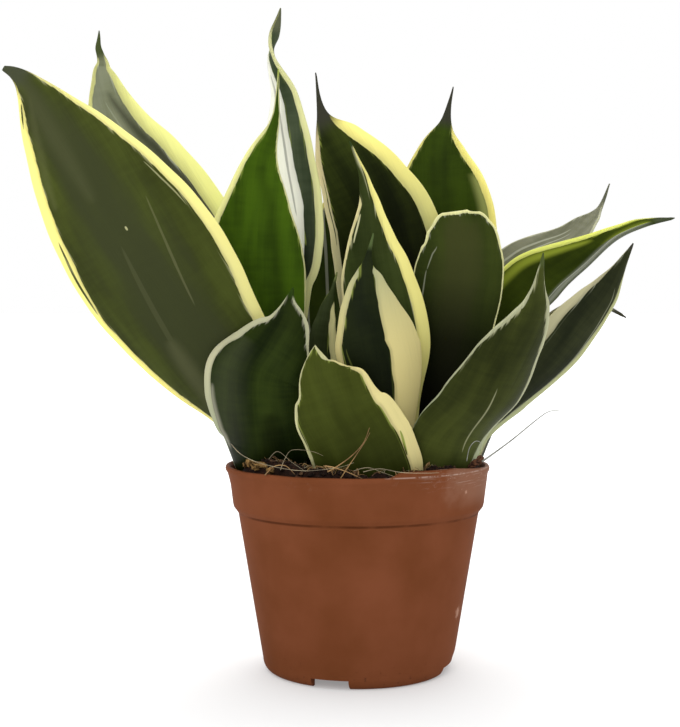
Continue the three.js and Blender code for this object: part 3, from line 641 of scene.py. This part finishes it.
def leaf_piece(name, leaf, number):
    """One blade, which keeps at its points the values that its material reads."""
    last = len(leaf["rib"]) - 1
    rows = np.column_stack([leaf["rib"], value_at(leaf["turn"], range(last + 1))])
    t = np.linspace(0, 1, LEAF_RINGS + 1)
    widths = np.maximum(row_at(rows, last * t)[:, 3], LEAST_WIDTH)
    u = np.array([leaf_strips(width) for width in widths])
    top = t[:, None]
    s = last * (top - leaf["slant"] * top ** SLANT_POWER * (1 - u) / 2)
    for centre, spread, depth in leaf["jags"]:
        s = s - depth * top ** JAG_POWER * np.exp(-((u - centre) / spread) ** 2)
    s = np.minimum(s, last)

    def both_faces(inner, outer):
        return np.concatenate([inner, outer[:, 1:-1][:, ::-1]], 1)

    loop = both_faces(leaf_points(leaf, rows, s, u, 1), leaf_points(leaf, rows, s, u, -1))
    points = loop.reshape(-1, 3)
    faces = tube_faces(len(points), loop.shape[1])
    piece = add_mesh(name + "_blade", points, faces, leaf_material(name, leaf))
    middle = leaf_points(leaf, rows, s, u, 0)
    steps = np.linalg.norm(np.diff(middle[:, u.shape[1] // 2], axis=0), axis=-1)
    length = np.concatenate([[0], np.cumsum(steps)])
    from_minus, from_plus, from_end = (
        distance_to_line(middle.reshape(-1, 3), line).reshape(u.shape)
        for line in (middle[:, 0], middle[:, -1], middle[-1])
    )
    minus, plus, light, veil = (value_at(leaf[key], s) for key in ("minus", "plus", "light", "veil"))
    kept = {
        "place": (u * widths[:, None] / 2, length[:, None], PATTERN_SHIFT * number),
        "edges": (from_minus, from_plus, s),
        "margin": (minus - from_minus, plus - from_plus, leaf["rim"] - from_end),
        # Painted light and shade for the green, and veil's painted shade and sheen for the pale parts
        "light": (light, veil, 0),
    }
    for key, parts in kept.items():
        values = np.stack([np.broadcast_to(part, u.shape) for part in parts], -1)
        store = piece.data.attributes.new(key, "FLOAT_VECTOR", "POINT")
        store.data.foreach_set("vector", both_faces(values, values).astype(np.float32).ravel())
    return piece


def leaf_material(name, leaf):
    """A blade with dark green, faintly banded flesh and a pale margin that runs out inwards in streaks."""
    material, start = new_material(name)
    last = len(leaf["rib"]) - 1
    place, edges, margin, shading = (start.kept(key) for key in ("place", "edges", "margin", "light"))
    from_minus, from_plus, row = (edges.part(axis) for axis in range(3))
    minus, plus, rim = (margin.part(axis) for axis in range(3))
    bands = place.pattern(0.07, 0.35, 1)
    grain = place.pattern(1.1, 0.02, 1)
    fine = place.pattern(4.5, 0.1, 1)
    blots = place.pattern(0.09, 0.018, 1)
    wander = (grain - 0.5) * 0.6 + (place.pattern(0.3, 0.07, 1) - 0.5)
    pale_depth = minus.most(plus).most(rim) + wander
    paleness = pale_depth.rise(-0.12, 0.22)
    fade = pale_depth.rise(-1.3, 0.3) * place.pattern(0.7, 0.015, 2).rise(0.5, 0.64) * 0.8
    dark = 1
    grey = 0
    for edge, first, final, near, far, width, tone in leaf["streaks"]:
        reach = {-1: from_minus, 0: place.part(0), 1: from_plus}[edge]
        t = (row - first) / (final - first)
        taper = (4 * t * (1 - t)).most(0) ** 0.5
        depth = width / 2 * taper - abs(reach - (near + (far - near) * t)) + wander * 0.25
        soft = 0.2 + (0.4 * width if width > 3 else 0)
        strength = depth.rise(-soft, soft) * taper.rise(0, 0.5)
        if tone > 1:
            grey = grey + strength * (tone - 1)
        elif tone > 0:
            fade = fade.most(strength * tone)
        elif tone < 0:
            dark = dark - strength * -tone
        else:
            paleness = paleness * (1 - strength)
    flesh = (bands - 0.5) * 0.4 + (grain - 0.5) * 0.3 + (fine - 0.5) * 0.14 + (blots - 0.5) * 1.8
    green = (flesh + 0.5).rise(0, 1).between(leaf["green"], leaf["bright"])
    if leaf["middle"]:
        across = from_minus / (from_minus + from_plus + 0.01)
        middle = (abs(across - 0.5) + (blots - 0.5) * 0.4).rise(0.36, 0.08)
        green = (middle * 0.9).between(green, leaf["middle"])
    # Painted shade and light: the green is darker or brighter row by row.
    green = green.dim(shading.part(0) * dark * GREEN_LIGHT)
    streaky = ((fine - 0.5) * 0.8 + (grain - 0.5) * 0.6 + (blots - 0.5) * 0.5) * leaf["stripes"]
    # Painted shade on the inner side of the pale parts and a painted glow towards their edge, under the
    # lines.
    cream = (streaky + pale_depth.rise(0, leaf["deep"]) * 0.8 + 0.15).rise(0, 1)
    plus_side = (plus - minus).rise(-0.5, 0.5)
    full_pale = plus_side.between(leaf["pale"], leaf["plus_pale"] or leaf["pale"])
    half = plus_side.between(leaf["half"], leaf["plus_half"] or leaf["half"])
    pale = cream.between(full_pale.dim(leaf["shade"]), full_pale).dim(1 - grey)
    # Veil greys the pale parts as painted shade and sheen.
    pale = shading.part(1).between(pale, VEIL)
    skin = paleness.between(fade.between(green, half), pale)
    if leaf["tip"]:
        skin = (last - row).rise(leaf["tip"] * 1.15, leaf["tip"] * 0.7).between(skin, leaf["tip_tone"])
    roughness = 0.45 + (blots - 0.5) * 0.2 + paleness * 0.1
    relief = grain * 0.5 + fine * 0.3 + bands * 0.5
    glow = (paleness * leaf["glow"], full_pale.dim(1 - grey))
    flesh_light = {"Subsurface Weight": 0.05, "Subsurface Radius": (1, 0.9, 0.3), "Subsurface Scale": 0.001}
    return finish_material(material, skin, roughness, leaf["gloss"], relief, 0.1, glow, flesh_light)


def pot_profile():
    """The pot's outline as radius and height, from the middle of its underside to that of its floor."""
    def wall(height):
        share = (height - FOOT_HEIGHT) / (STEP_BOTTOM - FOOT_HEIGHT)
        return BODY_BOTTOM_RADIUS + (BODY_TOP_RADIUS - BODY_BOTTOM_RADIUS) * share

    def rounding(radius, height, steps):
        return [(radius + out, height + up) for out, up in steps]

    foot_inside = FOOT_RADIUS - WALL
    foot_outside = FOOT_RADIUS - FOOT_EDGE
    bulge = [math.radians(-80 + 10 * k) for k in range(9)]
    slope = (RIM_RADIUS - 0.5 - BAND_BOTTOM_RADIUS) / (POT_HEIGHT - BAND_BOTTOM)
    band = np.linspace(BAND_BOTTOM + 1.5, POT_HEIGHT - 3.2, BAND_STEPS)
    return [
        (0, NOTCH_HEIGHT),
        *rounding(foot_inside, NOTCH_HEIGHT, [(-0.5, 0), (0, -0.5)]),
        *rounding(foot_inside, 0, [(0, FOOT_EDGE), (FOOT_EDGE, 0)]),
        (foot_outside, 0),
        *((foot_outside + FOOT_BULGE * math.cos(a) * 0.9, FOOT_HEIGHT * (1 + math.sin(a))) for a in bulge),
        *((wall(height), height) for height in np.linspace(FOOT_HEIGHT + 1, STEP_BOTTOM - 0.8, WALL_STEPS)),
        *rounding(BODY_TOP_RADIUS, STEP_BOTTOM, STEP_ROUNDING),
        *rounding(BAND_BOTTOM_RADIUS, BAND_BOTTOM, BAND_ROUNDING),
        *((BAND_BOTTOM_RADIUS + 0.1 + slope * (height - BAND_BOTTOM), height) for height in band),
        *rounding(RIM_RADIUS, POT_HEIGHT, LIP_ROUNDING),
        *rounding(RIM_RADIUS - RIM_WIDTH, POT_HEIGHT, INNER_LIP_ROUNDING),
        (BAND_BOTTOM_RADIUS - WALL, BAND_BOTTOM + 0.4),
        (wall(STEP_BOTTOM) - WALL, STEP_BOTTOM),
        (wall(FLOOR_TOP + 2) - WALL, FLOOR_TOP + 2),
        (wall(FLOOR_TOP) - WALL - 2, FLOOR_TOP),
        (0, FLOOR_TOP),
    ]


def lathe(name, profile, sides, material, place, inward=False):
    """A closed piece turned about the axis. Place gives each point from its angle, radius and height."""
    points = []
    rings = []
    for radius, height in profile:
        start = len(points)
        if radius:
            points += [place(angle, radius, height) for angle in circle(sides)]
        else:
            points.append((0, 0, height))
        rings.append(range(start, len(points)))
    return add_mesh(name, points, ring_faces(rings, inward), material)


def pot_place(angle, radius, height):
    """This pot is bent: its lip stands up at the front right, and its foot is drawn in at the right."""
    turn = math.degrees(angle) % 360
    near_lip = clamp((height - POT_HEIGHT + BENT_LIP) / BENT_LIP)
    near_foot = max(0, 1 - height / BENT_FOOT)
    raised = clamp((turn - RAISED_FROM) / 5) * clamp((RAISED_TO - turn) / 30)
    wave = noise.noise(Vector((3 * math.cos(angle), 3 * math.sin(angle), 0)))
    left = max(0, -math.cos(angle)) ** 3
    right = max(0, math.cos(angle)) ** 4
    radius = radius + (LIP_WAVE_OUT * wave + LIP_OUT * left) * near_lip - FOOT_IN * right * near_foot
    height = height + near_lip ** 3 * (LIP_UP + LIP_RAISED * raised + LIP_WAVE_UP * wave)
    return (*polar(radius, angle), height)


def cut(piece, cutters):
    """Takes the cutters out of a piece."""
    for cutter in cutters:
        step = piece.modifiers.new("cut", "BOOLEAN")
        step.operation = "DIFFERENCE"
        step.solver = "EXACT"
        step.object = cutter
    bpy.context.view_layer.update()
    whole = piece.evaluated_get(bpy.context.evaluated_depsgraph_get())
    mesh = bpy.data.meshes.new_from_object(whole)
    piece.modifiers.clear()
    piece.data = mesh
    for cutter in cutters:
        bpy.data.objects.remove(cutter)


def sharpen(piece):
    """Keeps edges crisp where the surface turns sharply."""
    work = bmesh.new()
    work.from_mesh(piece.data)
    for edge in work.edges:
        edge.smooth = len(edge.link_faces) == 2 and edge.calc_face_angle(0) < math.radians(SHARP_ANGLE)
    for face in work.faces:
        face.smooth = True
    work.to_mesh(piece.data)
    work.free()


def notch_cutter(angle, material):
    """A box that lies across the foot at an angle round the pot."""
    c, s = math.cos(angle), math.sin(angle)
    corners = [
        (c * x - s * y, s * x + c * y, z)
        for x in (FOOT_RADIUS - NOTCH_LENGTH / 2, FOOT_RADIUS + NOTCH_LENGTH / 2)
        for y in (-NOTCH_WIDTH / 2, NOTCH_WIDTH / 2)
        for z in (-NOTCH_HEIGHT, NOTCH_HEIGHT)
    ]
    faces = [(0, 1, 3, 2), (4, 6, 7, 5), (0, 4, 5, 1), (2, 3, 7, 6), (0, 2, 6, 4), (1, 5, 7, 3)]
    return add_mesh("notch", corners, faces, material)


def drain_cutter(x, y, material):
    """A round rod through the floor."""
    ring = [polar(DRAIN_RADIUS, angle) for angle in circle(DRAIN_SIDES)]
    points = [(x + across, y + deep, z) for z in DRAIN_REACH for across, deep in ring]
    return add_mesh("drain", points, tube_faces(len(points), DRAIN_SIDES), material)


def pot_piece():
    material = pot_material()
    piece = lathe("nursery_pot", pot_profile(), POT_SIDES, material, pot_place)
    cutters = []
    for k in range(NOTCH_COUNT):
        angle = math.radians(NOTCH_FIRST + 360 * k / NOTCH_COUNT)
        cutters.append(notch_cutter(angle, material))
        cutters.append(drain_cutter(*polar(DRAIN_RING, angle), material))
    cutters.append(drain_cutter(0, 0, material))
    cut(piece, cutters)
    sharpen(piece)
    return piece


def pot_material():
    """Satin brown plastic, faintly clouded, with pale scratches near the lip and dark patches near the foot.
    A painted highlight and wear pale its lip's top edge, and a painted shadow line runs under the band.
    """
    material, start = new_material("terracotta plastic")
    place = start.place()
    x, y, height = (place.part(axis) for axis in range(3))
    cloud = place.noise(0.035, 4)
    flow = place.pattern(0.03, 0.03, 0.008, 3)
    fleck = place.noise(1.6, 2)
    brown = ((cloud - 0.5) * 1.4 + (flow - 0.5) * 0.8 + 0.5).rise(0, 1)
    skin = brown.between("#65381f", "#76442c")
    right = x.rise(15, 48)
    lip = height.rise(84, 91)
    scratch = place.pattern(0.05, 0.05, 1.6, 4, 0.7).rise(0.56, 0.66) * lip * right
    scuff = place.pattern(0.3, 0.3, 0.9, 5, 0.75).rise(0.58, 0.66) * lip * right
    haze = (place.noise(0.1, 4) - 0.5 + x.rise(24, 56) * 0.8).rise(0.2, 0.7) * height.rise(75, 84)
    # The lip's top edge is paler at the front right: partly wear, partly a painted highlight.
    lip_wear_and_highlight = (1 - abs(height - 93) * 2.2).most(0)
    lip_wear_and_highlight = lip_wear_and_highlight * place.pattern(0.25, 0.25, 0.1, 4, 0.7).rise(0.4, 0.55)
    lip_wear_and_highlight = lip_wear_and_highlight * x.rise(5, 20) * (1 - y.rise(-30, 10))
    skin = (haze * 0.5).between(skin, "#8f6a57")
    chalk = place.noise(0.22, 5, 0.65).rise(0.6, 0.75) * lip * (0.25 + 0.75 * right)
    marks = (scratch * 0.45 + scuff * 0.4 + chalk * 0.25 + lip_wear_and_highlight * 0.6).least(0.75)
    skin = marks.between(skin, "#b79f92")
    rough_edge = (place.noise(0.6, 4, 0.7) - 0.5) * 1.6
    for across, deep, up, reach in SCUFFS:
        away = ((x - across) ** 2 + (y - deep) ** 2 + (height - up) ** 2) ** 0.5 * (1 / reach)
        spot = (1 - away + rough_edge).rise(0.1, 0.7)
        skin = (spot * 0.6).between(skin, "#b8917c")
    # Darker patches towards the foot.
    foot_patches = place.noise(0.5, 4, 0.7).rise(0.58, 0.72) * (1 - height.rise(4, 14)) * 0.6
    skin = foot_patches.between(skin, "#3a2318")
    # A painted shadow line under the band's step.
    step = height.rise(STEP_BOTTOM - 0.9, STEP_BOTTOM - 0.1)
    step = step * height.rise(STEP_BOTTOM + 0.9, STEP_BOTTOM + 0.3)
    shadow = step * (place.noise(0.05, 3).rise(0.38, 0.62) * 0.6 + 0.12)
    skin = shadow.between(skin, "#40200f")
    roughness = 0.5 + (cloud - 0.5) * 0.2 + scratch * 0.2
    return finish_material(material, skin, roughness, 0.005, fleck * 0.15 + cloud * 0.6 - scratch * 0.5, 0.12)


def crumb_height(x, y):
    """Height of the mix at a point: heaped to the middle, with clods, grit and small heaps."""
    from_middle = math.hypot(x, y)
    share = min(from_middle / SOIL_RADIUS, 1)
    heap = SOIL_HEAP * (1 + math.cos(math.pi * share)) / 2
    waves = sum(height * math.sin(a * x + b * y + start) for a, b, start, height in SOIL_WAVES)
    clods = noise.fractal(Vector((x * 0.16, y * 0.16, 3)), 0.9, 2.1, 5)
    grit = noise.noise(Vector((x * 1.1, y * 1.1, 7)))
    heaps = sum(h * math.exp(-((x - a) ** 2 + (y - b) ** 2) / reach ** 2) for a, b, reach, h in HEAPS)
    edge = 1 - max(0, (from_middle - SOIL_RADIUS + 4) / 4) * 0.75
    level = SOIL_EDGE + heap + (1 - share ** 6) * waves
    return level + heaps * edge + CLOD_HEIGHT * clods + GRIT_HEIGHT * grit


def soil_piece():
    """The potting mix: a crumbly top, closed below by the inside of the pot."""
    def place(angle, radius, height):
        x, y = polar(radius, angle)
        return x, y, crumb_height(x, y) if height is None else height

    profile = [
        (0, crumb_height(0, 0)),
        *((SOIL_RADIUS * ring / SOIL_RINGS, None) for ring in range(1, SOIL_RINGS + 1)),
        (SOIL_RADIUS - 1.8, BAND_BOTTOM),
        (52, BAND_BOTTOM - 3),
        (41.8, FLOOR_TOP + 2.3),
        (39.5, FLOOR_TOP + 0.3),
        (0, FLOOR_TOP + 0.3),
    ]
    return lathe("potting_mix_bed", profile, SOIL_SECTORS, soil_material(), place, inward=True)


def soil_material():
    """Dark moist peat with lighter fibre dust in it."""
    material, start = new_material("peat")
    place = start.place()
    clump = place.noise(0.25, 5, 0.65)
    grit = place.noise(1.5, 4, 0.7)
    dust = place.noise(0.9, 3, 0.7).rise(0.6, 0.7)
    skin = (clump * 0.6 + grit * 0.4).rise(0.3, 0.75).between("#0d0705", "#2f1a10")
    skin = (dust * 0.5).between(skin, "#5c3722")
    return finish_material(material, skin, 0.95, 0.15, clump + grit * 0.6, 0.6)


# How loose things look: the noises of their patches and their grain, the share of the patches in the colour,
# the roughness, the shine and the height of the bumps in mm
CRUMBLY = ((0.6, 2), (2.2, 3, 0.7), 0.7, 0.9, 0.2, 0.2)
HAIRY = ((0.12, 3), (3, 2), 0.8, 0.7, 0.3, 0.05)


def loose_material(name, dark, light, kind):
    """Patches that go from the dark colour to the light one, with finer grain in them."""
    patches, grains, share, roughness, shine, bumps = kind
    material, start = new_material(name)
    place = start.place()
    grain = place.noise(*grains)
    tone = place.noise(*patches) * share + grain * (1 - share)
    skin = tone.rise(0.35, 0.65).between(dark, light)
    return finish_material(material, skin, roughness, shine, grain, bumps)


def rhizome_material():
    """Waxy pale root with brown rings."""
    material, start = new_material("rhizome skin")
    ring = start.place().pattern(0.2, 0.2, 0.9, 3)
    skin = ring.rise(0.4, 0.6).between("#c98f4a", "#e4c890")
    return finish_material(material, skin, 0.6, 0.5, ring, 0.3)


def scatter(rng, inner=0, outer=SOIL_RADIUS - 2, arc=(0, FULL_TURN)):
    """A point on the mix between two radii and two angles."""
    angle = rng.uniform(*arc)
    return polar(math.sqrt(rng.uniform(inner ** 2, outer ** 2)), angle)


def crumb(rng, x, y, size):
    """The points and faces of one rough crumb on the mix. A large one is more ragged."""
    large = size > LARGE_CRUMB
    work = bmesh.new()
    bmesh.ops.create_icosphere(work, subdivisions=3 if large else 1, radius=1)
    stretch = Vector((rng.uniform(0.7, 1.7), rng.uniform(0.4, 1), rng.uniform(0.3, 0.7)))
    seed = Vector((rng.uniform(0, 50), rng.uniform(0, 50), rng.uniform(0, 50)))
    for corner in work.verts:
        swell = 1 + 0.45 * noise.noise(corner.co * 1.7 + seed)
        if large:
            swell += 0.5 * noise.noise(corner.co * 3.1 + seed) + 0.35 * noise.noise(corner.co * 7 + seed)
        corner.co = Vector(a * b for a, b in zip(corner.co * swell, stretch))
    corners = [corner.co.copy() for corner in work.verts]
    faces = [tuple(corner.index for corner in face.verts) for face in work.faces]
    work.free()
    turn = Vector((rng.uniform(-1, 1), rng.uniform(-1, 1), 3)).to_track_quat("Z", "Y")
    centre = Vector((x, y, crumb_height(x, y) + size * CRUMB_LIFT))
    spin = rng.uniform(0, FULL_TURN)
    c, s = math.cos(spin), math.sin(spin)
    spun = [Vector((p.x * c - p.y * s, p.x * s + p.y * c, p.z)) for p in corners]
    return [tuple(centre + turn @ (p * size)) for p in spun], faces


def crumbs(count, sizes, seed, places):
    """Crumbs scattered over the mix, and larger ones at places, given as x, y and size."""
    rng = random.Random(seed)
    shapes = []
    for number in range(count + len(places)):
        size = rng.uniform(*sizes)
        x, y = scatter(rng)
        if number >= count:
            x, y, size = places[number - count]
        shapes.append(crumb(rng, x, y, size))
    return shapes


def strand(route, radius):
    """Points and faces of a thin round strand along a smooth route, tapered towards its end."""
    rows = np.array(route, float)
    centres = row_at(rows, np.linspace(0, len(rows) - 1, (len(rows) - 1) * STRAND_DETAIL + 1))
    along = unit(np.gradient(centres, axis=0))
    side = unit(np.cross(along, np.array([0.3, 0.2, 1.0])))
    up = np.cross(side, along)
    points = []
    for k, centre in enumerate(centres):
        thick = radius * (1 - STRAND_TAPER * (k / (len(centres) - 1)))
        for angle in circle(STRAND_SIDES):
            points.append(tuple(centre + thick * (math.cos(angle) * side[k] + math.sin(angle) * up[k])))
    return points, tube_faces(len(points), STRAND_SIDES)


def loose_strands(count, lengths, radii, seed, inner=4, arc=(0, FULL_TURN)):
    """Routes of fibres that lie and curl over the mix, outside the inner radius and within an arc."""
    rng = random.Random(seed)
    routes = []
    for _ in range(count):
        x, y = scatter(rng, inner, SOIL_RADIUS - 4, arc)
        heading = rng.uniform(0, FULL_TURN)
        length = rng.uniform(*lengths)
        arch = rng.uniform(0.3, 2.6)
        curl = rng.uniform(-0.5, 0.5)
        route = []
        for k in range(STRAND_STEPS + 1):
            rise = arch * math.sin(math.pi * k / STRAND_STEPS)
            route.append((x, y, crumb_height(x, y) + STRAND_LIFT + rise + rng.uniform(-0.2, 0.4)))
            heading += curl + rng.uniform(-0.35, 0.35)
            if math.hypot(x, y) > SOIL_RADIUS - 6:
                heading = math.atan2(-y, -x) + rng.uniform(-0.8, 0.8)
            x += length / STRAND_STEPS * math.cos(heading)
            y += length / STRAND_STEPS * math.sin(heading)
        routes.append((route, rng.uniform(*radii)))
    return routes


FRONT = (math.radians(185), math.radians(355))
# Crumbs, as their material and its dark and light colour, how many, their sizes and seed, and larger clods at
# the front of the mix as x, y and size
CRUMBS = {
    "peat_crumbs": ("peat crumb", "#0d0805", "#2c1b12", 2600, (0.35, 1.6), 11, [
        (-51, -18, 2.1), (-33, -43, 2.4), (-27, -47.5, 1.8), (-20, -50, 2.2), (-12, -53, 1.7),
        (-4, -53.5, 2.3), (5, -54, 1.9), (12, -53, 2.4), (19, -52, 1.8), (26, -49, 2.2), (33, -45.5, 2.5),
        (40, -38, 2.1), (45, -31.5, 1.8), (49, -26, 2.3),
    ]),
    "bark_crumbs": ("bark crumb", "#33241a", "#5f4630", 170, (0.4, 1.5), 12, []),
    "yellow_crumbs": ("yellow crumb", "#33240f", "#a3804c", 90, (0.3, 0.9), 13, [
        (-50, -22.5, 2.3), (-47.6, -26.5, 3), (-44.8, -31, 2.8), (-41.3, -35, 3.2), (-37.8, -39, 2.2),
    ]),
    "red_crumbs": ("red crumb", "#2c1a12", "#7a5038", 90, (0.3, 1), 14, [
        (51.5, -17.5, 3), (49, -24, 3), (52.6, -11, 2.6), (45.5, -30.5, 2.4), (-25, -49, 1.7), (23, -51, 1.8),
        (30, -47.5, 2.2), (37, -42, 2), (42, -36, 2.6), (-14, -54, 1.8), (2, -55, 1.7), (10, -54.5, 1.9),
        (50.5, -20.5, 2.2),
    ]),
}
# Fibres, as their material and its dark and light colour, the loose ones as what loose_strands takes, and
# those that stand out from the mix as routes and radii
FIBRES = {
    "coir_fibres": (
        "coir", "#664a2b", "#a88656",
        [(180, (4, 18), (0.09, 0.2), 21), (130, (3, 9), (0.1, 0.24), 31, 42, FRONT)], [
            ([(-13, -55, 95.5), (-9, -57, 98), (-3, -58.5, 102.5), (2, -59, 108), (4.6, -59.5, 114.5)], 0.3),
            ([(-8, -56, 92), (-5, -58, 97), (-1, -59.5, 103), (2.6, -60, 108.5), (4.8, -60, 112.5)], 0.24),
            ([(-14, -55, 98), (-10, -57, 97.5), (-4, -58, 95.5), (2, -58.5, 92.8)], 0.32),
            ([(-40, -46, 93), (-36, -48, 97), (-31, -50, 97.5), (-27, -51, 94)], 0.3),
        ],
    ),
    "dark_fibres": (
        "dark hair", "#4a3324", "#7a5a40",
        [(150, (4, 16), (0.09, 0.18), 22), (110, (3, 9), (0.1, 0.22), 32, 42, FRONT)], [],
    ),
    "pale_roots": (
        "pale root", "#6e6450", "#a39678",
        [(50, (5, 22), (0.08, 0.16), 23), (24, (3, 8), (0.08, 0.14), 33, 44, FRONT)], [
            ([(-56, -30, 105), (-50, -44, 101.5), (-40, -53, 98.5), (-24, -57, 96.2), (-9, -57, 97.5),
              (-2, -56, 99.5)], 0.2),
            ([(-38, -52, 100.5), (-34, -54, 104), (-28, -55, 99.5), (-22, -55, 95.5)], 0.16),
            ([(-33, -52, 96), (-31, -54, 101), (-28, -53, 104.5), (-20, -53, 104), (-15, -52, 102)], 0.14),
            ([(2, -55, 95.5), (9, -57, 97), (18, -58, 95.6), (27, -57, 95.2), (34, -54, 95)], 0.2),
            ([(-2, -55, 96), (4, -57, 97.5), (10, -58, 95.6), (16, -57, 93.5)], 0.16),
        ],
    ),
    "grey_hairs": (
        "grey hair", "#77776f", "#a0a099", [], [
            ([(55, -20, 96), (60, -20, 99.5), (69, -19, 106), (79, -18, 114), (85, -17, 118),
              (90, -16, 118.6)], 0.5),
            ([(47, -36, 98), (48, -39, 104), (50.5, -40, 107), (53, -39, 106), (52.5, -38, 102.5)], 0.18),
        ],
    ),
}


def dress(piece, node=None):
    """Ties a piece to the standing part, and hides the solid that it stands for."""
    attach(piece, BODY)
    if node:
        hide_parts(node)


dress(pot_piece(), "pot")
dress(soil_piece(), "potting_mix")
for number, name in enumerate(LEAVES):
    dress(leaf_piece(name, {**USUAL_LEAF, **LEAVES[name]}, number), name)
for name, (kind, dark, light, *heap) in CRUMBS.items():
    material = loose_material(kind, dark, light, CRUMBLY)
    dress(joined(name, crumbs(*heap), material, smooth=False))
for name, (kind, dark, light, batches, standing) in FIBRES.items():
    routes = [route for batch in batches for route in loose_strands(*batch)] + standing
    material = loose_material(kind, dark, light, HAIRY)
    dress(joined(name, [strand(*route) for route in routes], material))
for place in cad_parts["rhizome"].material_slots:
    place.material = rhizome_material()


FLOOR_REACH = 40
PALE_GREY = (0.62, 0.62, 0.62, 1)
GREY_GLOW = (0.26, 0.26, 0.26, 1)
FAR_GLOW = (0.6, 0.6, 0.6, 1)
WHITE = (1, 1, 1, 1)
# The strength of the sky everywhere, and what it has more of behind the object and above it
SKY_LEAST = 0.52
SKY_BEHIND = 0.95
SKY_ABOVE = 0.85


def soft_light(name, place, aim, size, power):
    lamp = bpy.data.lights.new(name, "AREA")
    lamp.shape = "DISK"
    lamp.size = size
    lamp.energy = power
    holder = add_object(name, lamp)
    holder.location = place
    holder.rotation_euler = (Vector(aim) - Vector(place)).to_track_quat("-Z", "Y").to_euler()


def studio():
    """A pale floor under soft light that comes from above and behind more than from the front."""
    material, start = new_material("pale floor")
    place = start.node("NewGeometry", out="Position")
    far = (place.part(0) ** 2 + place.part(1) ** 2) ** 0.5
    glow = {"Emission Color": far.rise(0.1, 1.2).between(GREY_GLOW, FAR_GLOW), "Emission Strength": 1}
    finish_material(material, PALE_GREY, 1, 0, more=glow)
    reach = FLOOR_REACH / MM
    corners = [(-reach, -reach, 0), (reach, -reach, 0), (reach, reach, 0), (-reach, reach, 0)]
    add_mesh("studio_floor", corners, [(0, 1, 2, 3)], material)
    world = bpy.data.worlds.new("studio")
    sky = first_node(world)
    direction = sky.node("TexCoord", out="Generated")
    above = direction.part(2).rise(0.1, 1)
    behind = direction.part(1).rise(-0.15, 0.75)
    strength = behind * SKY_BEHIND + above * SKY_ABOVE + SKY_LEAST
    around = sky.node("Background", None, {"Color": WHITE, "Strength": strength})
    seen = sky.node("Background", None, {"Color": WHITE, "Strength": 1})
    straight = sky.node("LightPath", out="Is Camera Ray")
    sky.node("MixShader", None, {0: straight, 1: around, 2: seen}).end("World")
    bpy.context.scene.world = world
    soft_light("high back light", (0.15, 0.8, 1.4), (0, 0, 0.15), 1, 8)
    soft_light("front light", (-0.35, -1.4, 0.8), (0, 0, 0.1), 0.8, 6.5)
    bpy.context.scene.view_settings.view_transform = "Standard"


# The view: level, from in front, with the picture's middle below and left of the line of sight
VIEW_DISTANCE = 0.65
VIEW_HEIGHT = 0.1643
PICTURE = (680, 727)
PIXELS_PER_UNIT = 1413
SIGHT = (358.5, 308.5)
SENSOR = 36


def camera():
    lens = bpy.data.cameras.new("view")
    longest = max(PICTURE)
    lens.sensor_width = SENSOR
    lens.lens = PIXELS_PER_UNIT * SENSOR / longest
    lens.shift_x = (PICTURE[0] / 2 - SIGHT[0]) / longest
    lens.shift_y = (SIGHT[1] - PICTURE[1] / 2) / longest
    lens.clip_start = 0.01
    holder = add_object("view", lens)
    holder.location = (0, -VIEW_DISTANCE, VIEW_HEIGHT)
    holder.rotation_euler = (math.pi / 2, 0, 0)
    bpy.context.scene.camera = holder


studio()
camera()
